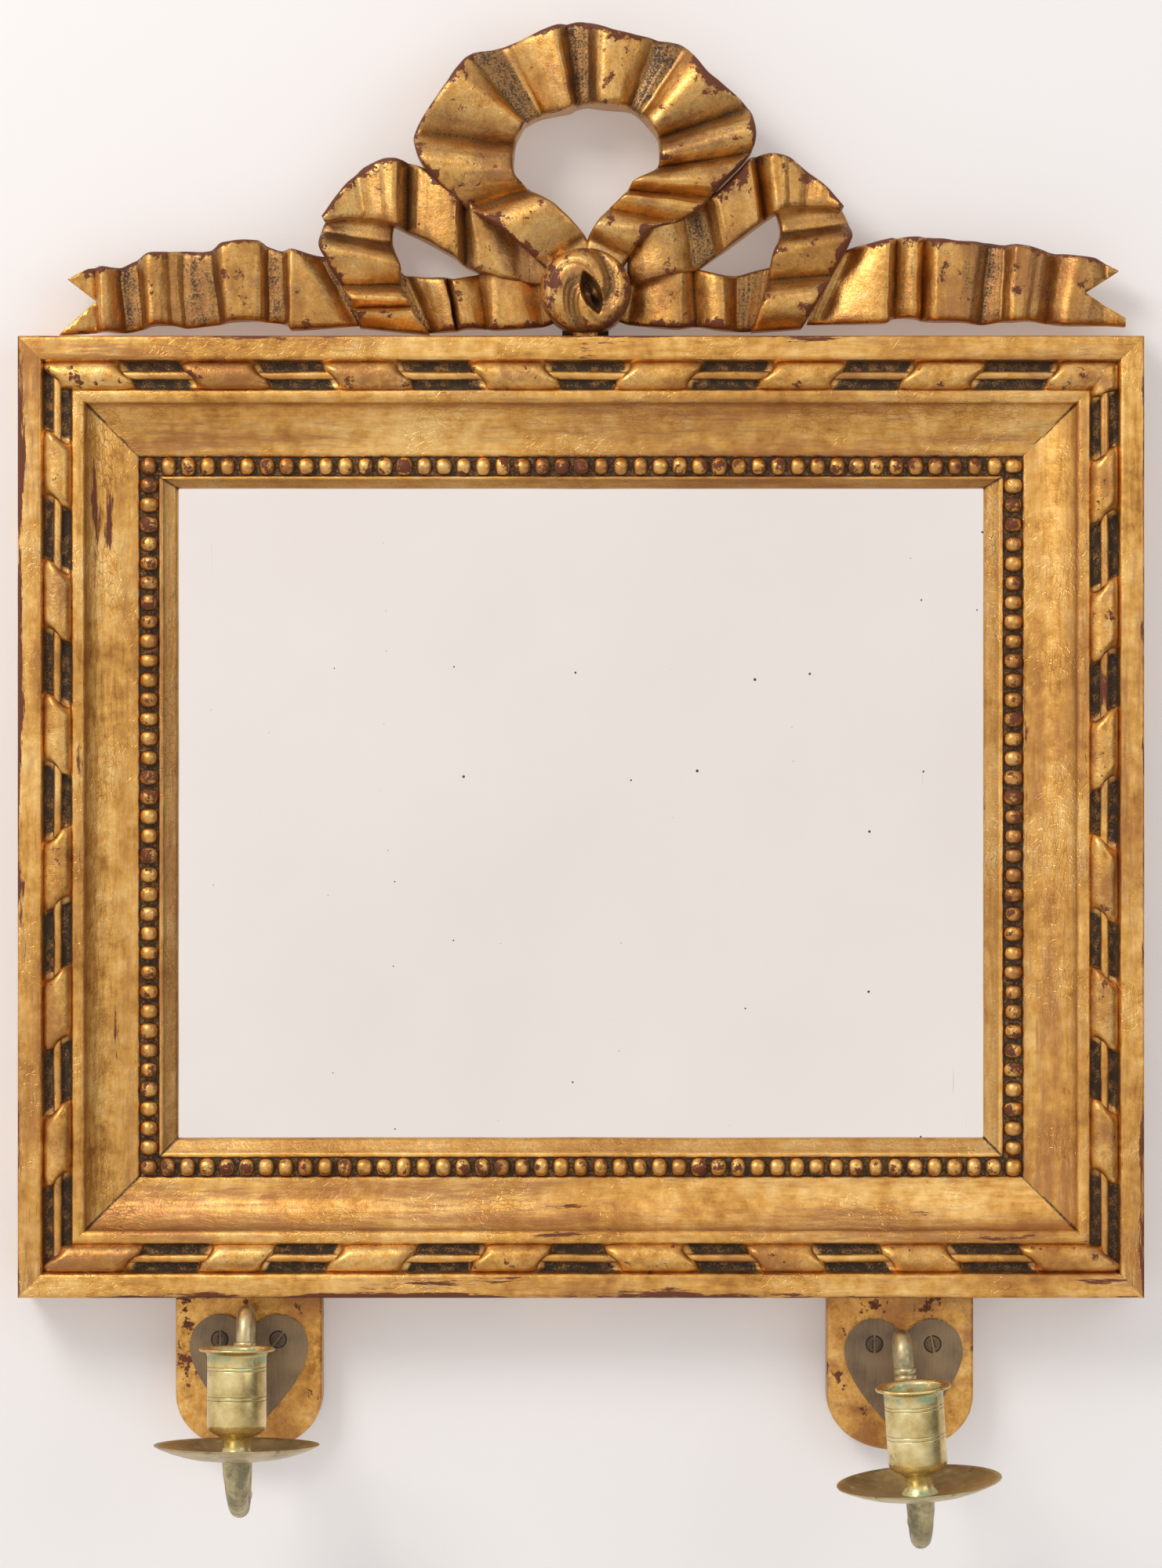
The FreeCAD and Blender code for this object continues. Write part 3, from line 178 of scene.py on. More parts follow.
def addNode(tree, kind, sockets=(), **settings):
    made = tree.nodes.new(kind)
    for key, value in settings.items():
        setattr(made, key, value)
    for key, value in dict(sockets).items():
        feed(tree, made.inputs[key], value)
    return made


def calc(tree, operation, a, b, clamp=False):
    made = addNode(tree, "ShaderNodeMath", {0: a, 1: b}, operation=operation, use_clamp=clamp)
    return made.outputs[0]


def plus(tree, a, b):
    return calc(tree, "ADD", a, b)


def less(tree, a, b):
    return calc(tree, "SUBTRACT", a, b)


def times(tree, a, b):
    return calc(tree, "MULTIPLY", a, b)


def blendColours(tree, share, under, over):
    made = addNode(tree, "ShaderNodeMix", data_type="RGBA")
    for key, value in ((0, share), (6, under), (7, over)):
        feed(tree, made.inputs[key], value)
    return made.outputs[2]


def ramp(tree, value, stops):
    made = addNode(tree, "ShaderNodeValToRGB", {"Fac": value})
    while len(made.color_ramp.elements) < len(stops):
        made.color_ramp.elements.new(0.5)
    for element, (place, colour) in zip(made.color_ramp.elements, stops):
        element.position = place
        element.color = (*colour, 1) if isinstance(colour, tuple) else (colour, colour, colour, 1)
    return made.outputs[0]


def maskFrom(tree, value, low, high, most=1.0):
    return ramp(tree, value, [(low, 0.0), (high, most)])


def objectPlaces(tree):
    return addNode(tree, "ShaderNodeTexCoord").outputs["Object"]


def stretched(tree, coords, scale):
    return addNode(tree, "ShaderNodeMapping", {"Vector": coords, "Scale": scale}).outputs[0]


def grainOf(tree, coords, scale, detail=4.0, rough=0.55, bend=0.0):
    sockets = {"Vector": coords, "Scale": scale, "Detail": detail, "Roughness": rough, "Distortion": bend}
    return addNode(tree, "ShaderNodeTexNoise", sockets).outputs["Fac"]


def painted(tree, name):
    return addNode(tree, "ShaderNodeAttribute", attribute_name=name, attribute_type="GEOMETRY").outputs["Fac"]


def newMaterial(name):
    material = bpy.data.materials.new(name)
    material.use_nodes = True
    tree = material.node_tree
    return material, tree, tree.nodes["Principled BSDF"]


def bumpChain(tree, heights):   # (height socket, strength, distance in mm)
    normal = None
    for height, strength, distance in heights:
        sockets = {"Height": height, "Strength": strength, "Distance": distance * mm}
        made = addNode(tree, "ShaderNodeBump", sockets)
        if normal:
            tree.links.new(normal, made.inputs["Normal"])
        normal = made.outputs[0]
    return normal


giltLook = {
    "deep": (0.37, 0.155, 0.032), "body": (0.69, 0.350, 0.082), "bright": (0.92, 0.585, 0.215),
    "bole": (0.15, 0.042, 0.018), "sootAndShade": (0.030, 0.019, 0.011), "umber": (0.235, 0.115, 0.042),
    "russet": (0.33, 0.125, 0.045),
    # patterns per metre, and how far the ones that run along a moulding are drawn out
    "cloud": 20, "mottle": 150, "brushed": 520, "speck": 1150, "thin": 34, "rub": 105,
    "cracks": 560, "crackPatches": 32, "brushPull": (0.13, 1, 1), "crackPull": (0.45, 1, 1),
    "goldSteps": (0.38, 0.49, 0.61),   # where the leaf is deep, body and bright
    # where in its pattern each layer sets in, where it is full, and how strong it is then if less than 1
    "thinSteps": (0.475, 0.62, 0.75), "boleSteps": (0.655, 0.685), "sootAndShadeSteps": (0.60, 0.95),
    "umberSteps": (0.06, 0.66, 0.85), "patchSteps": (0.47, 0.60), "crackWide": 0.05,
    "wearAmount": 0.40, "sootAndShadeAmount": 0.93, "crackAmount": 0.45, "metal": 0.94, "sheen": 0.25,
    "wax": 0.10, "waxSheen": 0.24,
}


def giltMaterial(name, look, flowing, crackle, stipple):
    material, tree, shader = newMaterial(name)
    solid = objectPlaces(tree)
    place = addNode(tree, "ShaderNodeUVMap", uv_map="flow").outputs[0] if flowing else solid
    along = stretched(tree, place, look["brushPull"]) if flowing else place
    cloud = grainOf(tree, solid, look["cloud"], 5)
    mottle = grainOf(tree, solid, look["mottle"], 7, 0.62)
    brushed = grainOf(tree, along, look["brushed"], 6, 0.62)
    speck = grainOf(tree, solid, look["speck"], 3, 0.7)
    tone = plus(tree, times(tree, mottle, 0.36), times(tree, brushed, 0.28))
    tone = plus(tree, times(tree, cloud, 0.36), tone)
    gold = ramp(tree, tone, list(zip(look["goldSteps"], (look["deep"], look["body"], look["bright"]))))
    # thin leaf, where the ground tints the gold
    thin = plus(tree, grainOf(tree, along, look["thin"], 7, 0.66), times(tree, less(tree, brushed, 0.5), 0.5))
    gold = blendColours(tree, maskFrom(tree, thin, *look["thinSteps"]), gold, look["russet"])
    # rubbed and chipped places, where the red bole shows through
    wear = times(tree, painted(tree, "wear"), look["wearAmount"])
    rub = plus(tree, grainOf(tree, along, look["rub"], 9, 0.70), wear)
    boleMask = maskFrom(tree, rub, *look["boleSteps"])
    # soot and wax, and painted shade, in the hollows and on the shaded folds, in specks at first
    loose = times(tree, less(tree, speck, 0.5), 1.7 * stipple)
    loose = plus(tree, loose, times(tree, less(tree, mottle, 0.5), 0.9))
    patina = painted(tree, "patina")
    dirtAndShadeMask = times(tree, maskFrom(tree, plus(tree, patina, loose), *look["sootAndShadeSteps"]), look["sootAndShadeAmount"])
    umberMask = maskFrom(tree, plus(tree, patina, times(tree, loose, 0.35)), *look["umberSteps"])
    colour = blendColours(tree, umberMask, gold, look["umber"])
    colour = blendColours(tree, boleMask, colour, look["bole"])
    colour = blendColours(tree, dirtAndShadeMask, colour, look["sootAndShade"])
    # fine crackle, in patches
    cells = {"Vector": stretched(tree, place, look["crackPull"]), "Scale": look["cracks"], "Randomness": 1.0}
    cracks = addNode(tree, "ShaderNodeTexVoronoi", cells, feature="DISTANCE_TO_EDGE")
    crackLine = maskFrom(tree, cracks.outputs["Distance"], 0.0, look["crackWide"])
    patches = maskFrom(tree, grainOf(tree, solid, look["crackPatches"], 4), *look["patchSteps"])
    crackShade = times(tree, less(tree, 1.0, crackLine), times(tree, patches, crackle))
    colour = blendColours(tree, times(tree, crackShade, look["crackAmount"]), colour, look["umber"])
    feed(tree, shader.inputs["Base Color"], colour)
    dull = calc(tree, "MAXIMUM", boleMask, dirtAndShadeMask)
    feed(tree, shader.inputs["Metallic"], less(tree, look["metal"], times(tree, dull, 0.80)))
    rough = plus(tree, look["sheen"], times(tree, mottle, 0.16))
    rough = plus(tree, rough, times(tree, umberMask, 0.10))
    feed(tree, shader.inputs["Roughness"], plus(tree, rough, times(tree, dull, 0.22)))
    feed(tree, shader.inputs["Specular IOR Level"], less(tree, 0.5, times(tree, dull, 0.3)))
    shader.inputs["Coat Weight"].default_value = look["wax"]
    shader.inputs["Coat Roughness"].default_value = look["waxSheen"]
    chips = less(tree, 1.0, calc(tree, "MAXIMUM", crackShade, times(tree, boleMask, 0.7)))
    feed(tree, shader.inputs["Normal"], bumpChain(tree, [
        (mottle, 0.55, 0.6), (brushed, 0.6, 0.22), (speck, 0.45, 0.14), (chips, 0.6, 0.2)]))
    return material


giltRail = giltMaterial("giltRail", giltLook, True, 0.8, 0.9)
giltCarved = giltMaterial("giltCarved", giltLook, False, 0.3, 1.0)

brassLook = {
    "body": (0.66, 0.50, 0.21), "bright": (0.88, 0.73, 0.40), "dull": (0.38, 0.27, 0.11),
    "verdigris": (0.10, 0.36, 0.25), "brown": (0.13, 0.085, 0.042), "green": 1.0, "shine": 0.20,
    "cloud": 55, "mottle": 260, "browned": 90, "metalSteps": (0.33, 0.48, 0.66), "crustSteps": (0.38, 0.66),
    "brownSteps": (0.60, 0.70, 0.7),
}
greenLook = {
    **brassLook, "body": (0.52, 0.41, 0.22), "bright": (0.70, 0.58, 0.35), "dull": (0.28, 0.21, 0.115),
    "verdigris": (0.12, 0.125, 0.06), "green": 0.9, "shine": 0.30,
}


def brassMaterial(name, look):
    material, tree, shader = newMaterial(name)
    solid = objectPlaces(tree)
    cloud = grainOf(tree, solid, look["cloud"], 5)
    mottle = grainOf(tree, solid, look["mottle"], 6, 0.65)
    tone = plus(tree, times(tree, cloud, 0.6), times(tree, mottle, 0.4))
    colour = ramp(tree, tone, list(zip(look["metalSteps"], (look["dull"], look["body"], look["bright"]))))
    crust = plus(tree, painted(tree, "patina"), times(tree, less(tree, mottle, 0.5), 1.1))
    crustMask = times(tree, maskFrom(tree, crust, *look["crustSteps"]), look["green"])
    brownMask = maskFrom(tree, grainOf(tree, solid, look["browned"], 6, 0.7), *look["brownSteps"])
    colour = blendColours(tree, brownMask, colour, look["brown"])
    colour = blendColours(tree, times(tree, crustMask, 0.85), colour, look["verdigris"])
    feed(tree, shader.inputs["Base Color"], colour)
    feed(tree, shader.inputs["Metallic"], less(tree, 0.95, times(tree, crustMask, 0.8)))
    rough = plus(tree, look["shine"], times(tree, mottle, 0.14))
    feed(tree, shader.inputs["Roughness"], plus(tree, rough, times(tree, crustMask, 0.3)))
    feed(tree, shader.inputs["Normal"], bumpChain(tree, [(mottle, 0.12, 0.08), (crust, 0.2, 0.06)]))
    return material


wornBrass = brassMaterial("wornBrass", brassLook)
greenBrass = brassMaterial("greenBrass", greenLook)

bronzeLook = {
    "body": (0.245, 0.165, 0.095), "red": (0.33, 0.225, 0.125), "dark": (0.135, 0.088, 0.054),
    "grime": (0.02, 0.014, 0.01), "cloud": 70, "filed": 1500, "filePull": (1.0, 1.0, 0.06), "rough": 0.42,
}
ironLook = {
    **bronzeLook, "body": (0.045, 0.040, 0.036), "red": (0.10, 0.050, 0.026), "dark": (0.018, 0.016, 0.015),
    "rough": 0.5,
}
steelLook = {
    **bronzeLook, "body": (0.13, 0.085, 0.055), "red": (0.19, 0.115, 0.06), "dark": (0.05, 0.035, 0.026),
    "rough": 0.38,
}


def bronzeMaterial(name, look):
    material, tree, shader = newMaterial(name)
    solid = objectPlaces(tree)
    cloud = grainOf(tree, solid, look["cloud"], 6)
    filed = grainOf(tree, stretched(tree, solid, look["filePull"]), look["filed"], 3, 0.6)
    tone = plus(tree, times(tree, cloud, 0.7), times(tree, filed, 0.3))
    colour = ramp(tree, tone, [(0.33, look["dark"]), (0.5, look["body"]), (0.68, look["red"])])
    colour = blendColours(tree, painted(tree, "patina"), colour, look["grime"])
    feed(tree, shader.inputs["Base Color"], colour)
    feed(tree, shader.inputs["Metallic"], ramp(tree, cloud, [(0.3, 0.45), (0.7, 0.75)]))
    feed(tree, shader.inputs["Roughness"], plus(tree, look["rough"], times(tree, filed, 0.15)))
    feed(tree, shader.inputs["Normal"], bumpChain(tree, [(cloud, 0.3, 0.3), (filed, 0.4, 0.08)]))
    return material


darkBronze = bronzeMaterial("darkBronze", bronzeLook)
forgedIron = bronzeMaterial("forgedIron", ironLook)
screwSteel = bronzeMaterial("screwSteel", steelLook)

woodLook = {
    "pale": (0.40, 0.245, 0.125), "line": (0.20, 0.105, 0.045), "grime": (0.085, 0.050, 0.028),
    "rings": 130, "fibre": 900, "grimy": 14, "grainPull": {"x": (0.05, 1, 1), "z": (1, 1, 0.05)},
}


def woodMaterial(name, look, grainAxis):
    material, tree, shader = newMaterial(name)
    solid = objectPlaces(tree)
    lengthwise = stretched(tree, solid, look["grainPull"][grainAxis])
    wavy = grainOf(tree, lengthwise, look["rings"], 5, 0.6, 0.5)
    fibre = grainOf(tree, lengthwise, look["fibre"], 3)
    grime = maskFrom(tree, grainOf(tree, solid, look["grimy"], 6), 0.42, 0.68, 0.75)
    colour = ramp(tree, wavy, [(0.40, look["line"]), (0.56, look["pale"])])
    colour = blendColours(tree, times(tree, fibre, 0.35), colour, look["line"])
    feed(tree, shader.inputs["Base Color"], blendColours(tree, grime, colour, look["grime"]))
    feed(tree, shader.inputs["Roughness"], plus(tree, 0.6, times(tree, fibre, 0.25)))
    feed(tree, shader.inputs["Normal"], bumpChain(tree, [(wavy, 0.35, 0.4), (fibre, 0.4, 0.15)]))
    return material


boardPine = woodMaterial("boardPine", woodLook, "z")
stripPine = woodMaterial("stripPine", woodLook, "x")

mirrorLook = {
    "silver": (0.885, 0.805, 0.755), "veil": (0.80, 0.72, 0.665), "spot": (0.05, 0.045, 0.04),
    "veiling": 9, "spots": 40, "largestSpot": 0.026, "sparse": 0.35,
    "hairs": 420, "hairPull": (1.0, 0.05, 1.0), "hairPatches": 22, "polish": 0.015,
}


def mirrorMaterial(name, look):
    material, tree, shader = newMaterial(name)
    solid = objectPlaces(tree)
    veil = maskFrom(tree, grainOf(tree, solid, look["veiling"], 5), 0.35, 0.75)
    colour = blendColours(tree, times(tree, veil, 0.5), look["silver"], look["veil"])
    axes = addNode(tree, "ShaderNodeSeparateXYZ", {0: solid}).outputs
    face = addNode(tree, "ShaderNodeCombineXYZ", {0: axes[0], 1: axes[2]}).outputs[0]
    # one fleck in some of the cells, many tiny ones and few larger ones
    scatter = {"Vector": face, "Scale": look["spots"], "Randomness": 1.0}
    cells = addNode(tree, "ShaderNodeTexVoronoi", scatter, feature="F1", voronoi_dimensions="2D").outputs
    draw = addNode(tree, "ShaderNodeSeparateColor", {0: cells["Color"]}).outputs
    size = times(tree, calc(tree, "POWER", draw[0], 3.0), look["largestSpot"])
    kept = calc(tree, "GREATER_THAN", draw[1], look["sparse"])
    spots = times(tree, calc(tree, "LESS_THAN", cells["Distance"], size), kept)
    hairs = grainOf(tree, stretched(tree, face, look["hairPull"]), look["hairs"], 2)
    patches = maskFrom(tree, grainOf(tree, solid, look["hairPatches"], 3), 0.55, 0.66)
    bloom = times(tree, maskFrom(tree, hairs, 0.74, 0.80, 0.30), patches)
    blemish = calc(tree, "MAXIMUM", spots, bloom, True)
    feed(tree, shader.inputs["Base Color"], blendColours(tree, blemish, colour, look["spot"]))
    feed(tree, shader.inputs["Metallic"], less(tree, 1.0, spots))
    feed(tree, shader.inputs["Roughness"], plus(tree, look["polish"], times(tree, blemish, 0.5)))
    return material


oldMirror = mirrorMaterial("oldMirror", mirrorLook)
print("materials made")

# the four moulded rails, as mitred sweeps of one section
railSizes = {
    "halfWidth": 240.0, "halfHeight": 205.0, "stationStep": 1.6, "sectionStep": 1.1, "backStep": 40.0,
    "handWobble": 0.22, "fineWobble": 0.08, "sideWobble": 0.14, "crackFrom": 29.0, "crackWide": 0.35,
    "hollowDeep": 0.6, "edgeWear": 0.50, "ridgeWear": 0.12, "ridgeLine": 26.0, "thickness": 34.0,
    "workedFrom": 14.0, "rubbedFrom": 20.0,   # heights off the wall
    "rubbed": {   # one long rubbed patch in a cove
        "rail": "frame_stile_left", "line": 38.0, "height": 128.0, "wide": 6.0, "tall": 24.0, "amount": 0.42},
    "frontPoints": 40,   # so many points of the section can be seen, the rest is the back
    "section": [   # in from the edge, off the wall, grime and painted shade in the hollows
        (0.05, 0, 0.0), (0.05, 32.7, 0.0), (0.3, 33.4, 0), (0.75, 33.85, 0), (1.4, 34.0, 0),
        (8.6, 34.0, 0.0), (9.5, 33.85, 0.0), (10.1, 33.4, 0.05), (10.6, 32.6, 0.2), (11.2, 31.6, 0.3),
        (12.0, 30.7, 0.3), (13.2, 30.1, 0.25), (14.9, 29.9, 0.2), (17.0, 30.1, 0.2), (19.2, 29.9, 0.2),
        (21.0, 30.1, 0.25), (22.1, 30.7, 0.3), (22.8, 31.4, 0.25), (23.3, 31.9, 0.08), (23.9, 32.1, 0.0),
        (25.5, 32.15, 0.0), (27.2, 31.8, 0.0), (28.2, 31.1, 0.12), (28.7, 30.2, 0.4), (29.2, 29.5, 0.3),
        (30.7, 27.9, 0.1), (33.2, 25.8, 0.05), (36.5, 23.7, 0.0), (40.5, 22.0, 0.0), (45.0, 20.9, 0.0),
        (49.6, 20.3, 0.1), (50.6, 20.0, 0.3), (50.9, 18.9, 0.95), (54.8, 18.6, 0.9), (58.7, 18.8, 0.92),
        (59.0, 19.6, 0.3), (59.5, 20.1, 0.0), (60.5, 20.1, 0.0), (61.1, 19.5, 0.25), (61.7, 19.0, 0.42),
        (66.4, 16.3, 0.32), (66.9, 15.7, 0.2), (67.0, 13.0, 0.4), (62.0, 13.0, 0.6), (62.0, 6.0, 0.6),
        (54.0, 6.0, 0.6), (54.0, 0.0, 0.3),
    ],
    "sightStep": 59.5, "glassStep": 7.5, "topLip": 3.0,   # the top rail's last step is that much narrower
}
railPlaces = {   # name: middle of the outer edge, direction along, direction inwards
    "frame_rail_top": ((0, 0, railSizes["halfHeight"]), (1, 0, 0), (0, 0, -1)),
    "frame_rail_bottom": ((0, 0, -railSizes["halfHeight"]), (-1, 0, 0), (0, 0, 1)),
    "frame_stile_left": ((-railSizes["halfWidth"], 0, 0), (0, 0, 1), (1, 0, 0)),
    "frame_stile_right": ((railSizes["halfWidth"], 0, 0), (0, 0, -1), (-1, 0, 0)),
}

# the twisted ribbon in their hollow: lumps between black gaps, with a thin rod running through
twistSizes = {
    "line": 16.9, "halfWide": 6.2, "floor": 29.7, "crown": 6.3, "lean": 0.52, "endRound": 4.4, "bend": 1.1,
    "bed": (10.9, 22.9), "gapEdge": (0.2, 1.2), "lumpLength": 30.0, "lumpGrid": (27, 15),
    "unevenness": 0.02, "seed": 4,
    "rodRadius": 1.9, "rodHeight": 31.3, "rodSides": 10, "rodHalfSteps": 60,
    "lumps": {   # start and end of each lump along its rail, from the rail's middle
        "frame_rail_top": [
            (-226, -193.5), (-167.6, -135.5), (-107, -75), (-44, -12), (17.7, 48.7), (78.2, 110.4),
            (138.7, 169.6), (200.4, 226),
        ],
        "frame_rail_bottom": [
            (-226, -189.8), (-160.2, -133), (-105.8, -72.5), (-44, -15.7), (12.8, 47.4), (73.3, 101.7),
            (130, 159.7), (190.6, 226),
        ],
        "frame_stile_left": [
            (162.5, 134.1), (107, 77.4), (50.1, 20.5), (-6.7, -37.6), (-66, -96.9), (-124, -154.9),
        ],
        "frame_stile_right": [
            (192, 180), (155.1, 128), (99.5, 68.7), (44, 14.3), (-10.3, -42.5), (-67.2, -96.9),
            (-122.8, -153.7),
        ],
    },
}


def halfLength(name):
    return railSizes["halfWidth"] if "rail" in name else railSizes["halfHeight"]


def denseSection():
    z = railSizes
    fine = []
    for k, (u, h, dark) in enumerate(z["section"]):
        u2, h2, dark2 = z["section"][(k + 1) % len(z["section"])]
        step = z["sectionStep"] if 0 < k < z["frontPoints"] else z["backStep"]
        pieces = max(1, round(math.hypot(u2 - u, h2 - h) / step))
        for j in range(pieces):
            t = j / pieces
            fine.append((u + (u2 - u) * t, h + (h2 - h) * t, dark + (dark2 - dark) * t))
    return fine


def insetOf(name, u):   # the top rail's last step to the glass is narrower
    z = railSizes
    if "top" in name and u > z["sightStep"]:
        return z["sightStep"] + (u - z["sightStep"]) * (z["glassStep"] - z["topLip"]) / z["glassStep"]
    return u


def railEnds(name, u):   # how far the rail reaches at each end, where it meets its neighbours' mitres
    half = halfLength(name)
    if name == "frame_stile_left":
        return -(half - u), half - insetOf("top", u)
    if name == "frame_stile_right":
        return -(half - insetOf("top", u)), half - u
    return -(half - u), half - u


def lumpSpans(name):   # along the rail's own direction
    flip = -1 if name in ("frame_rail_bottom", "frame_stile_right") else 1
    return [sorted((first * flip, second * flip)) for first, second in twistSizes["lumps"][name]]


def gapShade(spans, s, u):   # 1 in the black gaps between the lumps
    t = twistSizes
    inner, outer = t["bed"]
    if not inner < u < outer:
        return 0.0
    shift = t["lean"] * (t["line"] - u) * (1 if s > 0 else -1)
    away = min(max(first + shift - s, s - second - shift) for first, second in spans)
    start, width = t["gapEdge"]
    return max(0.0, min(1.0, (away - start) / width))


def railRubbing(name, u, h, spot, seed):   # leaf worn off the corners and in a few patches
    z = railSizes
    rubbed = z["rubbed"]
    edge = 0.0
    if h > z["rubbedFrom"]:
        corner = math.exp(-u / 2.2 - (z["thickness"] - h) / 5) * z["edgeWear"]
        edge = corner + math.exp(-abs(u - z["ridgeLine"]) / 3) * z["ridgeWear"]
    patch = max(0, wobble(spot.x + seed, 7, spot.z, 55, 1.0)) * (0.40 if u < 10 else 0.20)
    if name == rubbed["rail"]:
        across = (u - rubbed["line"]) / rubbed["wide"]
        upwards = (spot.z - rubbed["height"]) / rubbed["tall"]
        patch += rubbed["amount"] * math.exp(-across ** 2 - upwards ** 2)
    return edge + patch


def makeRail(name):
    z = railSizes
    middle, along, inward = (Vector(v) for v in railPlaces[name])
    section = denseSection()
    half = halfLength(name)
    stations = int(2 * half / z["stationStep"])
    spans = lumpSpans(name)
    seed = list(railPlaces).index(name) * 40
    reach = [0.0]   # how far round the section each point lies
    for before, after in zip(section, section[1:]):
        reach.append(reach[-1] + math.hypot(after[0] - before[0], after[1] - before[1]))
    points, dark, wear, flow = [], [], [], []
    for r in range(stations + 1):
        for (u, h, shade), girth in zip(section, reach):
            low, high = railEnds(name, u)
            s = low + (high - low) * r / stations
            spot = middle + along * s + inward * insetOf(name, u)
            lift = 0.0
            if h > z["workedFrom"]:
                lift = wobble(spot.x, u * 0.5, spot.z, 26, z["handWobble"])
                lift += wobble(spot.x, u, spot.z, 7, z["fineWobble"])
            sink = 0.0 if u < 0.1 else wobble(spot.x + 90, h, spot.z, 30, z["sideWobble"])
            gap = gapShade(spans, s, u)
            out = h + lift - gap * z["hollowDeep"]
            points.append((spot.x + inward.x * sink, -out, spot.z + inward.z * sink))
            crack = 0.0   # the mitres have opened here and there
            if u > z["crackFrom"] and wobble(u, seed, 3, 6, 1.0) > -0.35:
                crack = 0.95 * math.exp(-min(s - low, high - s) / z["crackWide"])
            # painted shade and soot in the gaps between the lumps
            sootAndShade = gap * (0.95 + wobble(spot.x * 1.7, u * 2, spot.z * 1.7, 6, 0.42))
            dark.append(max(shade, crack, sootAndShade))
            wear.append(railRubbing(name, u, h, spot, seed))
            flow.append((s + half + seed * 30, girth))
    faces = tubeFaces(stations + 1, len(section))
    rail = putMesh(name.replace("frame", "gilt"), points, faces, giltRail, 60)
    paint(rail, patina=dark, wear=wear)
    flowMap(rail, flow)
    facesOut(rail)
    return onBody(rail, "frame", "gilded_wood", name)


rails = [makeRail(name) for name in railPlaces]
print("rails swept:", sum(len(rail.data.polygons) for rail in rails), "faces")


# Geometry Nodes: a shape repeated on the points of a layout mesh, each turned and stretched by the layout's
# attributes, or threaded along the layout's edges at an even spacing
repeatInputs = {
    "Geometry": "NodeSocketGeometry", "Shape": "NodeSocketObject", "Finish": "NodeSocketMaterial",
    "Spacing": "NodeSocketFloat", "Unevenness": "NodeSocketFloat", "Seed": "NodeSocketInt",
}


def namedVector(tree, name):
    made = addNode(tree, "GeometryNodeInputNamedAttribute", {"Name": name}, data_type="FLOAT_VECTOR")
    return made.outputs[0]


def repeatTree(name, needsPath):
    tree = bpy.data.node_groups.new(name, "GeometryNodeTree")
    for label, kind in repeatInputs.items():
        tree.interface.new_socket(label, in_out="INPUT", socket_type=kind)
    tree.interface.new_socket("Geometry", in_out="OUTPUT", socket_type="NodeSocketGeometry")
    given = tree.nodes.new("NodeGroupInput").outputs
    result = tree.nodes.new("NodeGroupOutput")
    shape = addNode(tree, "GeometryNodeObjectInfo", {"Object": given["Shape"]}).outputs["Geometry"]
    low = less(tree, 1.0, given["Unevenness"])
    high = plus(tree, 1.0, given["Unevenness"])
    uneven = addNode(tree, "FunctionNodeRandomValue", {"Seed": given["Seed"]}, data_type="FLOAT_VECTOR")
    for key, value in ((0, low), (1, high)):
        tree.links.new(value, uneven.inputs[key])
    if needsPath:
        curve = addNode(tree, "GeometryNodeMeshToCurve", {"Mesh": given["Geometry"]}).outputs[0]
        threading = {"Curve": curve, "Length": given["Spacing"]}
        spread = addNode(tree, "GeometryNodeCurveToPoints", threading, mode="LENGTH").outputs
        points, turn, size = spread["Points"], spread["Rotation"], uneven.outputs[0]
    else:
        points, turn = given["Geometry"], namedVector(tree, "turn")
        sizing = {0: namedVector(tree, "stretch"), 1: uneven.outputs[0]}
        size = addNode(tree, "ShaderNodeVectorMath", sizing, operation="MULTIPLY").outputs[0]
    placing = {"Points": points, "Instance": shape, "Rotation": turn, "Scale": size}
    placed = addNode(tree, "GeometryNodeInstanceOnPoints", placing).outputs[0]
    real = addNode(tree, "GeometryNodeRealizeInstances", {"Geometry": placed}).outputs[0]
    finishing = {"Geometry": real, "Material": given["Finish"]}
    finished = addNode(tree, "GeometryNodeSetMaterial", finishing).outputs[0]
    tree.links.new(finished, result.inputs[0])
    return tree


placedTree = repeatTree("placedCopies", False)
threadedTree = repeatTree("threadedCopies", True)


def repeatAlong(name, tree, layout, shape, finish, spacing=1.0, unevenness=0.0, seed=1):
    modifier = layout.modifiers.new("copies", "NODES")
    modifier.node_group = tree
    values = {"Shape": shape, "Finish": finish, "Spacing": spacing, "Unevenness": unevenness, "Seed": seed}
    for item in tree.interface.items_tree:
        if item.in_out == "INPUT" and item.name in values:
            modifier[item.identifier] = values[item.name]
    layout.name = name
    settle(layout)
    layout.data.materials.clear()
    layout.data.materials.append(finish)
    bpy.data.objects.remove(shape)
    return layout


def layoutMesh(places, turns, stretches):
    mesh = bpy.data.meshes.new("layout")
    mesh.from_pydata([tuple(Vector(p) * mm) for p in places], [], [])
    for name, values in (("turn", turns), ("stretch", stretches)):
        layer = mesh.attributes.new(name, "FLOAT_VECTOR", "POINT")
        layer.data.foreach_set("vector", np.asarray(values, np.float32).ravel())
    return addObject("layout", mesh)


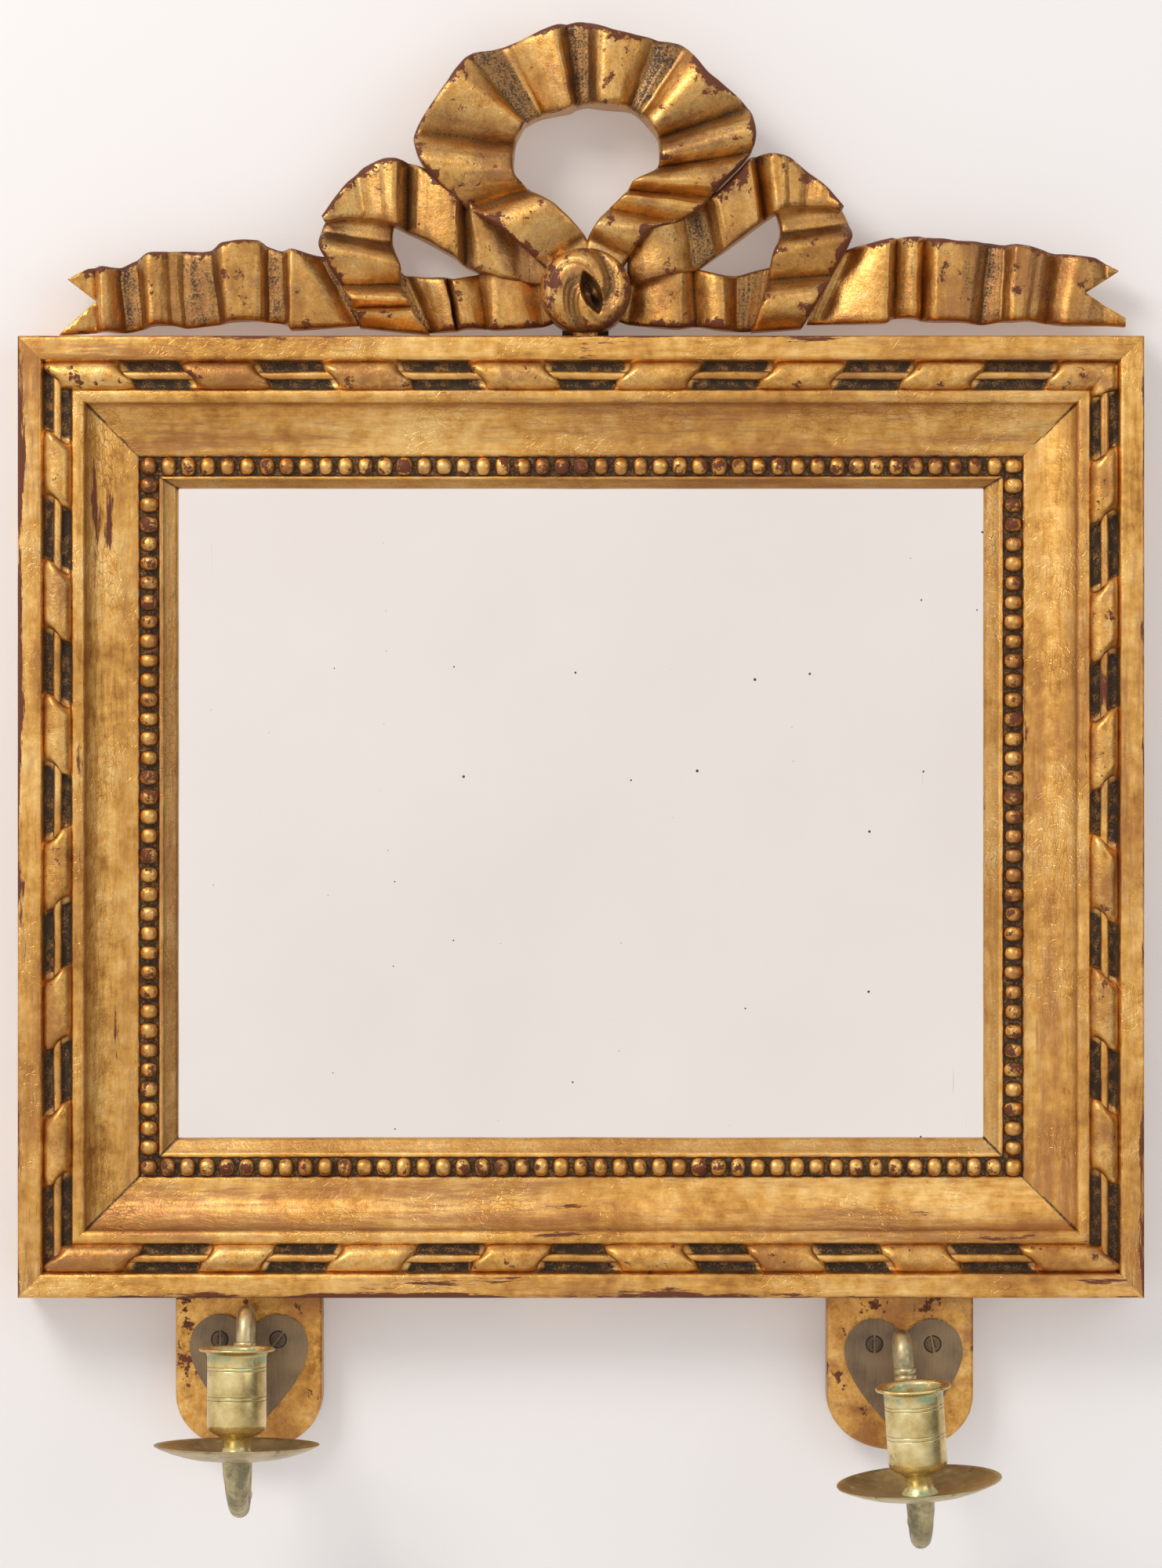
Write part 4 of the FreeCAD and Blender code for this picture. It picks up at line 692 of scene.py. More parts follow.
def lumpShape(leanSide):
    t = twistSizes
    rows, cols = t["lumpGrid"]
    points, dark, wear = [], [], []
    for r in range(rows):
        a = -math.cos(math.pi * r / (rows - 1))   # closer together at the ends
        fromEnd = (1 - abs(a)) * t["lumpLength"] / 2
        end = min(1, fromEnd / t["endRound"])
        for c in range(cols):
            b = -math.cos(math.pi * c / (cols - 1))
            bow = math.sqrt(max(0, 1 - abs(b) ** 2.3))
            rise = t["crown"] * bow * (0.22 + 0.78 * math.sqrt(max(0, 1 - (1 - end) ** 2)))
            if abs(a) > 0.999 or abs(b) > 0.999:
                rise = -0.8   # the rim goes into the rail
            shift = t["lean"] * b * t["halfWide"] * leanSide + t["bend"] * math.sin(math.pi * b) * leanSide
            points.append((a * t["lumpLength"] / 2 + shift, b * t["halfWide"] * (0.9 + 0.1 * end), rise))
            # painted shade where the ends and long edges go down into the rail, over random streaks
            grime = 0.35 * math.exp(-fromEnd / 0.6) + 0.25 * max(0, abs(b) - 0.9) / 0.1
            dark.append(grime + 0.13 + wobble(a * 3, b * 9, leanSide, 1.2, 0.22))
            wear.append(0.06 + 0.08 * bow)
    lump = putMesh("lump", points, gridFaces(rows, cols) + [rimOf(rows, cols)], giltCarved, 60)
    paint(lump, patina=dark, wear=wear)
    return lump


def railSpot(name, s, u, h):
    middle, along, inward = (Vector(v) for v in railPlaces[name])
    spot = middle + along * s + inward * u
    return (spot.x, -h, spot.z)


def makeTwist():
    t = twistSizes
    pieces = []
    for leanSide in (1, -1):   # the lumps lean the other way past each rail's middle
        places, turns, stretches = [], [], []
        for name in t["lumps"]:
            along, inward = Vector(railPlaces[name][1]), Vector(railPlaces[name][2])
            turn = Matrix((along, -inward, Vector((0, -1, 0)))).transposed().to_euler()
            for first, second in lumpSpans(name):
                middle = (first + second) / 2
                if (middle > 0) != (leanSide > 0):
                    continue
                places.append(railSpot(name, middle, t["line"], t["floor"]))
                turns.append(tuple(turn))
                stretches.append((abs(second - first) / t["lumpLength"], 1, 1))
        layout = layoutMesh(places, turns, stretches)
        pieces.append(repeatAlong("lumps", placedTree, layout, lumpShape(leanSide), giltCarved,
                                  unevenness=t["unevenness"], seed=t["seed"]))
    return joinPieces("twistLumps", pieces)


twist = makeTwist()
print("twist laid:", len(twist.data.polygons), "faces")


# turned and bent pieces: rings of points, from the foot up or along a route
def ringOf(sides):
    return [2 * math.pi * k / sides for k in range(sides)]


def turnedGrid(profile, sides, matrix=Matrix.Identity(4)):   # (radius, height) profile
    points = []
    for radius, height in profile:
        for angle in ringOf(sides):
            points.append(matrix @ Vector((math.cos(angle) * radius, math.sin(angle) * radius, height)))
    return points, tubeFaces(len(profile), sides)


def makeTurned(name, profile, sides, matrix, material, patina, sharp=40):   # (radius, height, grime) profile
    points, faces = turnedGrid([(radius, height) for radius, height, shade in profile], sides, matrix)
    obj = putMesh(name, points, faces, material, sharp)
    paint(obj, patina=[shade + patina for radius, height, shade in profile for k in range(sides)])
    return facesOut(obj)


def smoothRoute(stations, steps):   # (point, radius) stations to a close row of them
    route = []
    for k in range(len(stations) - 1):
        (p1, r1), (p2, r2) = stations[k], stations[k + 1]
        p0 = stations[k - 1][0] if k else p1 * 2 - p2
        p3 = stations[k + 2][0] if k + 2 < len(stations) else p2 * 2 - p1
        for j in range(steps):
            t = j / steps
            curved = (p0 * 2 - p1 * 5 + p2 * 4 - p3) * t * t + (p1 * 3 - p0 - p2 * 3 + p3) * t ** 3
            spot = ((p1 * 2) + (p2 - p0) * t + curved) * 0.5
            route.append((spot, easeBetween(r1, r2, t)))
    route.append(stations[-1])
    return route


def tubeGrid(route, sides, steady, matrix=Matrix.Identity(4)):   # steady is square to the whole route
    points = []
    for k, (spot, radius) in enumerate(route):
        ahead = route[min(k + 1, len(route) - 1)][0] - route[max(k - 1, 0)][0]
        out = steady.cross(ahead.normalized()).normalized()
        for angle in ringOf(sides):
            offset = out * (math.cos(angle) * radius) + steady * (math.sin(angle) * radius)
            points.append(matrix @ (spot + offset))
    return points, tubeFaces(len(route), sides)


def makeRod():
    t = twistSizes
    rods = []
    for name in railPlaces:
        half = halfLength(name) - t["line"]
        route = []
        for k in range(2 * t["rodHalfSteps"] + 1):
            s = (k / t["rodHalfSteps"] - 1) * half
            spot = Vector(railSpot(name, s, t["line"] + wobble(s, 3, 1, 40, 0.35), t["rodHeight"]))
            route.append((spot, t["rodRadius"] + wobble(s, 9, 5, 12, 0.25)))
        points, faces = tubeGrid(route, t["rodSides"], Vector((0, 1, 0)))
        rod = putMesh("rod", points, faces, giltRail)
        grime = [0.10 + max(0, wobble(p[0], 1, p[2], 9, 0.5)) for p in points]
        paint(rod, patina=grime, wear=[0.1] * len(points))
        flowMap(rod, [(p[0] + p[2], p[1]) for p in points])
        rods.append(facesOut(rod))
    return joinPieces("twistRod", rods)


rodThread = makeRod()
for piece in (twist, rodThread):
    onBody(piece, "frame", "gilded_wood")

beadSizes = {
    "line": 54.8, "height": 19.3, "pitch": 8.25, "across": 3.8, "along": 3.45, "sides": 12,
    "unevenness": 0.07, "seed": 11,
    "profile": [   # radius and height, as shares
        (0.34, -1.0), (0.64, -0.88), (0.88, -0.6), (1.0, -0.22), (1.0, 0.22), (0.88, 0.6), (0.64, 0.88),
        (0.34, 1.0)],
}


def beadShape():
    b = beadSizes
    profile = [(radius * b["across"], height * b["along"]) for radius, height in b["profile"]]
    points, faces = turnedGrid(profile, b["sides"])
    shape = putMesh("bead", points, faces, giltCarved, 80)
    heights = [abs(height) for radius, height in b["profile"] for k in range(b["sides"])]
    # painted shade at both ends, where each bead meets the next
    paint(shape, patina=[0.5 if height > 0.8 else 0.12 for height in heights],
          wear=[0.30 if height < 0.7 else 0.15 for height in heights])
    return facesOut(shape)


def makeBeads():
    b = beadSizes
    halfX, halfZ = railSizes["halfWidth"] - b["line"], railSizes["halfHeight"] - b["line"]
    corners = [(-halfX, halfZ), (halfX, halfZ), (halfX, -halfZ), (-halfX, -halfZ)]
    points, edges = [], []
    for k in range(4):
        (x1, z1), (x2, z2) = corners[k], corners[(k + 1) % 4]
        count = round(math.hypot(x2 - x1, z2 - z1) / b["pitch"])
        share = (count - 1 + 0.02) / count   # the last place is the next side's first bead
        points += [(x1, -b["height"], z1), (x1 + (x2 - x1) * share, -b["height"], z1 + (z2 - z1) * share)]
        edges.append((2 * k, 2 * k + 1))
    path = bpy.data.meshes.new("beadPath")
    path.from_pydata([tuple(Vector(p) * mm) for p in points], edges, [])
    return repeatAlong("sightBeads", threadedTree, addObject("beadPath", path), beadShape(), giltCarved,
                       b["pitch"] * mm, b["unevenness"], b["seed"])


beads = makeBeads()
onBody(beads, "frame", "gilded_wood")
print("beads threaded:", len(beads.data.polygons), "faces")

# the carved ribbon: folds across each band, from the outer edge (x, z) to the inner edge (x, z), and how far
# each stands out
ribbonSizes = {
    "back": 9.0, "backStep": 0.12, "steps": 9, "edgeRound": 2.4, "relief": 1.6, "chisel": 0.8,
    "handWobble": 0.35, "deepest": -3.6,
    "main": 28.0, "side": 23.0, "turn": 22.7, "low": 19.0, "streamer": 18.0,   # how far out each band lies
    "across": (0, 0.012, 0.035, 0.07, 0.14, 0.28, 0.44, 0.6, 0.76, 0.88, 0.94, 0.97, 0.99, 1),
    "outerWear": 0.46, "edgeWear": 0.18, "ridgeWear": 0.16,
}
mainFolds = [
    (-9.5, 227.5, 3.5, 238.5, -2.6), (-16.5, 236, 2.5, 247.5, -2.6), (-34.5, 251.5, -10.5, 261, 3),
    (-50.5, 261, -23, 269, -3), (-68, 279.5, -28.5, 275, 3.2), (-71, 293, -28, 288, -2.6),
    (-55.5, 316, -25, 295, 3.2), (-48, 326, -23, 297, -2.4), (-33, 329.5, -17, 300, -3),
    (-11.5, 338, -4.5, 302.5, 2.8), (-6.5, 339.5, -2, 304, -2.8), (2.5, 340, 3, 305, -1.6),
    (12, 336.5, 10.5, 304, 3), (33, 332.5, 21, 303, -3), (45, 329, 25.5, 300, -1.8),
    (54.5, 317.5, 30, 295, 3), (71.5, 303.5, 33, 290.5, -2.8), (74.5, 293, 33.5, 282, 2.6),
    (72.5, 284, 32.5, 277.5, -1.8), (60, 270.5, 22.5, 271.5, 3.2), (55.5, 265, 20, 268, -1.6),
    (51.5, 260, 17.5, 265, 2.2), (42, 254.5, 12, 260, -1.4), (30, 250.5, 6, 253, 2.6),
    (20, 239, 3, 247.5, -2.6), (14.5, 227.5, 1.5, 238.5, -2.6),
]
leftUpper = [
    (-14, 243, -14, 227.5, -2.4), (-29, 254, -25.5, 229, -2.4), (-47, 263, -41, 232.5, 2),
    (-50, 265, -49.5, 236, -1.6), (-54, 267.5, -54.5, 240, 2.8), (-67, 277.5, -68, 247.5, 0.6),
    (-74, 280.6, -74.5, 250.5, -2.8), (-80.2, 281.8, -79.5, 253, 3), (-87, 281.2, -85.5, 255, 1.2),
    (-96, 275.8, -93, 256, -1.2), (-104, 267, -101.5, 256, 0.8), (-111, 257, -109.5, 254.5, 2.2),
]
leftTurn = [
    (-108, 259.5, -80, 257, -4.6), (-111.5, 251, -81, 246.5, -3.6), (-112, 244, -77.5, 236.5, 2.6),
    (-103, 228, -77, 228, -2.2), (-99.5, 222, -74, 221.5, 2.2), (-98, 218, -72.5, 218.5, -0.8),
    (-96, 215.5, -71.5, 216, 2.2), (-95, 210, -65, 207, -1.6),
]
leftLow = [
    (-72, 208.5, -79.5, 236, -3), (-64.5, 208, -75, 232.5, -3), (-54, 208.5, -59, 231, 2.2),
    (-53.5, 208.5, -57.5, 231.5, -1.4), (-49.5, 209.5, -54.5, 230.5, 2.4), (-41, 209.5, -44, 233, -1.8),
    (-36.5, 209, -36.5, 235, 1.6), (-16.5, 210.5, -20.5, 232, -2.6), (-9.5, 213, -10.5, 230, -2.6),
]
rightUpper = [
    (20, 243, 20, 227.5, -2.2), (32, 256, 35.5, 231, 2.2), (45, 259, 49, 234.5, -2.6),
    (52, 264, 57, 239.5, -2), (59, 268, 63.5, 244, 2.6), (71.5, 281, 75.5, 253, 1.8),
    (75, 283, 79, 255.5, -2.8), (82.5, 283.8, 84.5, 259, 2.8), (89, 282.4, 90, 260.8, 1.2),
    (97, 276.8, 96.5, 261, -0.8), (106, 269, 104.5, 261, 0.8), (112.5, 261, 111, 259, 2.2),
]
rightTurn = [
    (110, 264.5, 83, 261.5, -4.6), (115, 254, 85.5, 251, -3.4), (116, 247.5, 82.5, 241.5, 2.6),
    (108, 232.5, 79.5, 230, -2.4), (103, 223, 77, 220, 2.4), (94.5, 209.5, 73, 208, -1.6),
]
rightLow = [
    (79.5, 209, 82.5, 236.5, -3), (73, 208.5, 76.5, 235, -3), (67, 208.5, 67, 232.5, -2.6),
    (59.5, 209, 59, 232.5, 2.4), (49.5, 210.5, 48, 236, -2.2), (41, 209.5, 41.5, 236.5, 1.8),
    (20.5, 211.5, 24, 233, -2.6), (15, 213.5, 15, 230, -2.6),
]
leftStreamer = [
    (-105, 240.5, -94.5, 211, -2.6), (-112.5, 241, -96, 211, -2.6), (-124, 243.5, -124, 209, 2.6),
    (-128.5, 243, -127, 211.5, -2), (-134.5, 245, -134, 212.5, -2.8), (-139, 247.5, -140, 213, 0.8),
    (-153.5, 246.5, -150.5, 212.5, 3), (-159.5, 243, -155, 211.5, -1.8), (-171, 243, -169.5, 210, -2.8),
    (-176.5, 242.5, -175, 211, -0.6), (-185, 242, -183.5, 211, 2.8), (-191, 239, -188, 209.5, -1.6),
    (-198, 236, -195.5, 208, -2.6), (-205.5, 236, -204.5, 208.5, 2.4), (-209, 235.5, -208, 208, -0.6),
    (-221.5, 234, -224.5, 206.5, 1),
]
rightStreamer = [
    (106, 239.5, 97, 211.5, -2.6), (117, 244.5, 101.5, 211.5, -2.6), (132, 248, 130.5, 212, 2.6),
    (135.5, 248.5, 134.5, 214, -1.8), (143.5, 249, 143, 214, 1.6), (147.5, 249, 146.5, 213, -1.8),
    (153, 248, 152.5, 212.5, 2.8), (166, 247, 164, 212.5, 0.8), (175.5, 246.5, 172, 211.5, -2.6),
    (182, 245.5, 180, 212.5, -1), (187.5, 245.5, 185, 212.5, 2.8), (197, 243.5, 192.5, 213, 0.6),
    (203.5, 242, 199.5, 212, -2.4), (215, 240.5, 208, 211, 2.4), (225, 239.5, 225, 211, -0.4),
    (231.5, 239, 234, 210.5, 0.4),
]

# three-cornered cuts (x, z) at the streamers' ends: the swallow-tail, then the slanted tip
leftCuts = [
    [(-208.1, 221.2), (-236, 242.6), (-236, 195.3)],
    [(-207.5, 237.4), (-236, 221.5), (-236, 250)],
]
rightCuts = [
    [(216, 224.5), (243, 242), (243, 208)],
    [(218, 241), (240, 229), (240, 247)],
]


def foldDepth(before, after, t):   # sharp valleys and rounded ridges
    if after >= before:
        return before + (after - before) * math.sin(math.pi / 2 * t)
    return after + (before - after) * math.sin(math.pi / 2 * (1 - t))


def edgeSpot(folds, k, t, side):   # a smooth line through one edge of the folds
    spots = [Vector((fold[side], 0, fold[side + 1])) for fold in folds]
    b, c = spots[k], spots[k + 1]
    a = spots[k - 1] if k else b * 2 - c
    d = spots[k + 2] if k + 2 < len(spots) else c * 2 - b
    size = (c - b).length
    leave = (c - a).normalized() * min(size, (c - a).length * 0.5) if (c - a).length else Vector()
    arrive = (d - b).normalized() * min(size, (d - b).length * 0.5) if (d - b).length else Vector()
    return (b * (2 * t ** 3 - 3 * t * t + 1) + leave * (t ** 3 - 2 * t * t + t) + c * (3 * t * t - 2 * t ** 3)
            + arrive * (t ** 3 - t * t))


def ribbonRows(folds):   # every step along a band, as the fold before it and the share of the way to the next
    steps = ribbonSizes["steps"]
    rows = [(k, j / steps) for k in range(len(folds) - 1) for j in range(steps)]
    return rows + [(len(folds) - 2, 1.0)]


def ribbonBand(name, folds, front, foldShadeAndGrime):   # how dark each fold is painted, from 0 to 9: painted shade on the folds turned from the light, with grime
    r = ribbonSizes
    rows = ribbonRows(folds)
    points, dark, wear = [], [], []
    for k, t in rows:
        before, after = folds[k][4], folds[k + 1][4]
        outer, inner = edgeSpot(folds, k, t, 0), edgeSpot(folds, k, t, 2)
        width = max(0.1, (inner - outer).length)
        lift = foldDepth(before, after, t) * r["relief"]
        tone = int(foldShadeAndGrime[k]) / 9 if k < len(foldShadeAndGrime) else 0.0
        ridge = max(0, lift / 4)
        valleyShade = 0.24 * math.exp(-abs(lift - r["deepest"]) / 0.8)
        for v in r["across"]:
            near = min(v, 1 - v) * width
            drop = 0.0
            if near < r["edgeRound"]:
                drop = r["edgeRound"] * (1 - math.sqrt(1 - (1 - near / r["edgeRound"]) ** 2))
            spot = outer.lerp(inner, v)
            spot += Vector((wobble(spot.x, 8, spot.z, 7, 0.5), 0, wobble(spot.z, 5, spot.x, 7, 0.4)))
            chisel = wobble((k + t) * 8, v * 1.3, front, 1.0, 0.5) * (1 if 0 < k + t < len(folds) - 1 else 0)
            out = front + lift - drop + wobble(spot.x, 3, spot.z, 9, r["handWobble"]) + chisel * r["chisel"]
            points.append((spot.x, -out, spot.z))
            # painted shade and grime of the fold, less on the ridges and near the edges, with more painted
            # shade deep in the valleys
            grime = tone * 0.70 * (1 - 0.55 * ridge) * min(1.0, 0.6 + near / 4)
            dark.append(0.16 + grime + valleyShade - chisel * 0.35)
            rubbed = r["outerWear"] * math.exp(-v * width / 3.2) + r["edgeWear"] * math.exp(-near / 1.4)
            wear.append(rubbed + r["ridgeWear"] * ridge)
        back = r["back"] + (r["main"] - front) * r["backStep"]   # the bands behind stop a little short
        middle = (front + lift + back) / 2
        for spot, depth in ((inner, middle), (inner, back), (outer, back), (outer, middle)):
            points.append((spot.x, -depth, spot.z))
            dark.append(0.28)
            wear.append(0.08)
    band = putMesh(name, points, tubeFaces(len(rows), len(r["across"]) + 4), giltCarved, 65)
    paint(band, patina=dark, wear=wear)
    return facesOut(band)


def cutOff(band, cuts):
    for corners in cuts:
        points = [(x, -60, z) for x, z in corners] + [(x, 10, z) for x, z in corners]
        faces = [(0, 1, 2), (5, 4, 3), (0, 3, 4, 1), (1, 4, 5, 2), (2, 5, 3, 0)]
        carveOut(band, facesOut(putMesh("cutter", points, faces, giltCarved)))
    return band


def makeRibbon():
    r = ribbonSizes
    bands = [
        ribbonBand("mainLoop", mainFolds, r["main"], "1250431612662612504030301"),
        ribbonBand("leftUpper", leftUpper, r["side"], "23664361223"),
        ribbonBand("leftTurn", leftTurn, r["turn"], "2505032"),
        ribbonBand("leftLow", leftLow, r["low"], "54352413"),
        ribbonBand("rightUpper", rightUpper, r["side"], "23553323223"),
        ribbonBand("rightTurn", rightTurn, r["turn"], "25151"),
        ribbonBand("rightLow", rightLow, r["low"], "5531413"),
        cutOff(ribbonBand("leftStreamer", leftStreamer, r["streamer"], "620442642105311"), leftCuts),
        cutOff(ribbonBand("rightStreamer", rightStreamer, r["streamer"], "214421355144252"), rightCuts),
    ]
    return onBody(joinPieces("carvedBow", bands), "frame", "gilded_wood", "crest_ribbon")


bow = makeRibbon()
print("bow carved:", len(bow.data.polygons), "faces")

# the knot: a domed oval with two strands wound round an almond-shaped eye
knotSizes = {
    "x": 1.9, "z": 225.0, "wide": 19.6, "tall": 18.0, "back": 2.5, "rim": 27.0, "crown": 35.0,
    "eyeX": 4.4, "eyeZ": 223.4, "eyeWide": 3.7, "eyeTall": 9.4, "eyeLean": 20.0, "eyeDeep": 7.5,
    "winding": 2.3, "grooveDeep": 2.6, "lineDeep": 0.7, "rings": 34, "sides": 96, "backShare": 0.98,
}


def makeKnot():
    n = knotSizes
    lean = math.radians(n["eyeLean"])
    points, dark, wear = [], [], []
    for r in range(n["rings"] + 1):
        share = r / n["rings"]
        dome = math.sqrt(max(0, 1 - share ** 3.2))
        for angle in ringOf(n["sides"]):
            x = n["x"] + math.cos(angle) * share * n["wide"]
            z = n["z"] + math.sin(angle) * share * n["tall"]
            du = (x - n["eyeX"]) * math.cos(lean) + (z - n["eyeZ"]) * math.sin(lean)
            dv = -(x - n["eyeX"]) * math.sin(lean) + (z - n["eyeZ"]) * math.cos(lean)
            almond = abs(du) / n["eyeWide"] + (dv / n["eyeTall"]) ** 2
            eye = easeBetween(1, 0, max(0.0, min(1.0, (almond - 0.62) / 0.6)))
            away = math.hypot(du * 1.5, dv) / n["tall"]
            swirl = math.atan2(dv, du * 1.5) - n["winding"] * away + 0.2
            strand = 0.5 + 0.5 * math.cos(swirl * 2)
            groove = (1 - strand) ** 6 * min(1.0, share / 0.3)
            lines = (0.5 + 0.5 * math.cos(swirl * 6)) ** 5 * (1 - groove) * (1 - eye)
            height = n["rim"] + (n["crown"] - n["rim"]) * dome * (0.80 + 0.20 * strand)
            cut = (n["grooveDeep"] * groove + n["lineDeep"] * lines) * dome ** 0.5
            points.append((x, -(height - cut - eye * n["eyeDeep"]), z))
            # painted shade in the eye, the grooves and the fine lines
            dark.append(0.18 + 0.52 * eye + 0.55 * groove + 0.36 * lines)
            wear.append(0.22 * strand + 0.3 * share ** 3)
    for angle in ringOf(n["sides"]):
        x = n["x"] + math.cos(angle) * n["wide"] * n["backShare"]
        points.append((x, -n["back"], n["z"] + math.sin(angle) * n["tall"] * n["backShare"]))
        dark.append(0.4)
        wear.append(0.2)
    faces = gridFaces(n["rings"] + 2, n["sides"], loopCols=True)
    faces.append(tuple((n["rings"] + 1) * n["sides"] + k for k in range(n["sides"])))
    knot = putMesh("carvedKnot", points, faces, giltCarved, 70)
    paint(knot, patina=dark, wear=wear)
    merge = knot.modifiers.new("middle", "WELD")
    merge.merge_threshold = 0.00001   # the innermost ring is one spot
    settle(knot)
    return onBody(facesOut(knot), "frame", "gilded_wood", "crest_knot")


makeKnot()
print("knot carved")

# the two sconces hang under the bottom rail; lean, tilt and the turns of the screws' slots are in degrees
sconceSizes = {
    "left": {
        "pivot": (-142.6, -24, -242), "lean": 0.0, "tilt": -2.5, "boardX": -142.7, "heartX": -142.6,
        "heartTop": -214.5, "slots": (0, -38, 20)},
    "right": {
        "pivot": (138.5, -24, -251), "lean": -4.0, "tilt": 3.0, "boardX": 137.2, "heartX": 138.5,
        "heartTop": -216.5, "slots": (0, 12, -30)},
    "boardWide": 63.0, "boardThick": 14.0, "boardTop": -177.0, "boardStraight": -248.0, "boardFoot": -272.5,
    "boardRound": 1.6, "boardBack": 0.02, "boardSteps": 12, "footSteps": 40, "railFoot": -206.0,
    "heartWide": 49.5, "heartTall": 50.0, "heartThick": 2.0, "heartRound": 0.7, "heartCleft": 9.0,
    "lobeHigh": 12.6, "lobeFrom": 168.0, "lobeTurn": 176.0, "shoulder": (1.0, -14.4), "belly": (0.93, -28.5),
    "heartSteps": 32, "socket": 5.5, "socketHole": 3.05, "socketHalf": 8.0, "socketEdge": 0.5,
    # joins the socket to the plate, placed from the pivot
    "web": {"halfWide": 2.5, "halfTall": 6.4, "back": -8.2, "front": -4.3, "round": 0.1},
    "screwSpread": 12.5, "screwDrop": 10.0, "tipScrewDrop": 39.5, "screwHead": 3.45, "screwSides": 28,
    "slotHalf": 0.42, "slotFloor": -0.2, "slotReach": 4.0,
}


# a flat piece with rounded front edges
def plateFromOutline(name, outline, back, front, bevel, material, steps=4):
    count = len(outline)
    layers = [(back, 0.0), (front - bevel, 0.0)]
    for k in range(1, steps + 1):
        angle = math.pi / 2 * k / steps
        layers.append((front - bevel + math.sin(angle) * bevel, (1 - math.cos(angle)) * bevel))
    points = []
    for depth, inset in layers:
        for k, (x, z) in enumerate(outline):
            (x1, z1), (x2, z2) = outline[k - 1], outline[(k + 1) % count]
            normal = Vector((z2 - z1, 0, x1 - x2)).normalized()
            points.append((x - normal.x * inset, -depth, z - normal.z * inset))
    faces = gridFaces(len(layers), count, loopCols=True)
    faces += [tuple(range(count)), tuple((len(layers) - 1) * count + k for k in range(count))]
    return facesOut(putMesh(name, points, faces, material, 35))


def makeBoard(side):
    z, n = sconceSizes, sconceSizes[side]
    half = z["boardWide"] / 2
    top, straight, steps = z["boardTop"], z["boardStraight"], z["boardSteps"]
    outline = [(n["boardX"] + half, top + (straight - top) * k / steps) for k in range(steps + 1)]
    for k in range(1, z["footSteps"]):
        angle = math.pi * k / z["footSteps"]
        across = half * math.copysign(abs(math.cos(angle)) ** 0.92, math.cos(angle))
        sag = (straight - z["boardFoot"]) * math.sin(angle) ** 0.95
        outline.append((n["boardX"] + across, straight - sag))
    outline += [(n["boardX"] - half, straight + (top - straight) * k / steps) for k in range(steps + 1)]
    depths = z["boardBack"], z["boardThick"], z["boardRound"]
    board = plateFromOutline("sconceBoard_" + side, outline[::-1], *depths, giltCarved)
    spots = [v.co / mm for v in board.data.vertices]
    # painted shadow of the rail where the board comes out below it, and painted shade on its sides and back
    grime = [0.55 * math.exp(-abs(p.z - z["railFoot"]) / 1.6) + (0.22 if p.y > -11 else 0.0) for p in spots]
    paint(board, patina=grime, wear=[0.16 if abs(p.x - n["boardX"]) > half - 3 else -0.12 for p in spots])
    return onBody(board, "frame", "gilded_wood", "sconce_board_" + side)


def heartOutline(x0, top):
    z = sconceSizes
    half = z["heartWide"] / 2
    outline = [(x0, top - z["heartCleft"])]
    for k in range(1, z["heartSteps"] + 1):   # right half from the cleft round to the tip
        t = k / z["heartSteps"]
        if t < 0.5:
            angle = math.radians(z["lobeFrom"] - z["lobeTurn"] * t / 0.5)
            outline.append((x0 + half * 0.5 + half * 0.5 * math.cos(angle),
                            top - z["lobeHigh"] + z["lobeHigh"] * math.sin(angle)))
        else:
            s = (t - 0.5) / 0.5
            shoulder = Vector((half * z["shoulder"][0], z["shoulder"][1]))
            belly = Vector((half * z["belly"][0], z["belly"][1]))
            tip = Vector((0, -z["heartTall"]))
            spot = shoulder * (1 - s) ** 2 + belly * 2 * s * (1 - s) + tip * s * s
            outline.append((x0 + spot.x, top + spot.y))
    left = [(2 * x0 - x, height) for x, height in outline[1:-1]][::-1]
    return outline + left


def armPlace(side):
    n = sconceSizes[side]
    turn = Matrix.Rotation(math.radians(n["lean"]), 4, "Y") @ Matrix.Rotation(math.radians(n["tilt"]), 4, "X")
    return Matrix.Translation(Vector(n["pivot"])) @ turn


def makeHeart(side):
    z, n = sconceSizes, sconceSizes[side]
    front = z["boardThick"] + z["heartThick"]
    outline = heartOutline(n["heartX"], n["heartTop"])
    plate = plateFromOutline("plate", outline, z["boardThick"], front, z["heartRound"], darkBronze, 3)
    place = armPlace(side)
    hole, wall, half, edge = z["socketHole"], z["socket"], z["socketHalf"], z["socketEdge"]
    profile = [(hole, -half, 0), (wall - edge, -half, 0), (wall, -half + edge, 0),
               (wall, half - edge, 0), (wall - edge, half, 0), (hole, half, 0)]
    socket = makeTurned("socket", profile, 24, place, darkBronze, 0.0)
    w = z["web"]
    wide, tall = w["halfWide"], w["halfTall"]
    corners = [(-wide, -tall), (wide, -tall), (wide, tall), (-wide, tall)]
    web = plateFromOutline("web", corners, w["back"], w["front"], w["round"], darkBronze, 1)
    web.data.transform(Matrix.Translation(Vector(n["pivot"]) * mm) @ place.to_3x3().to_4x4())
    heart = joinPieces("heartPlate_" + side, [plate, socket, web])
    return onBody(heart, "frame", "dark_bronze", "heart_plate_" + side)


def slotShape():
    z = sconceSizes
    corners = [(-z["slotHalf"], -z["slotReach"]), (z["slotHalf"], -z["slotReach"]),
               (z["slotHalf"], z["slotReach"]), (-z["slotHalf"], z["slotReach"])]
    points = [(x, y, height) for height in (z["slotFloor"], 1) for x, y in corners]
    faces = [(0, 3, 2, 1), (4, 5, 6, 7), (0, 1, 5, 4), (1, 2, 6, 5), (2, 3, 7, 6), (3, 0, 4, 7)]
    return facesOut(putMesh("slot", points, faces, screwSteel))


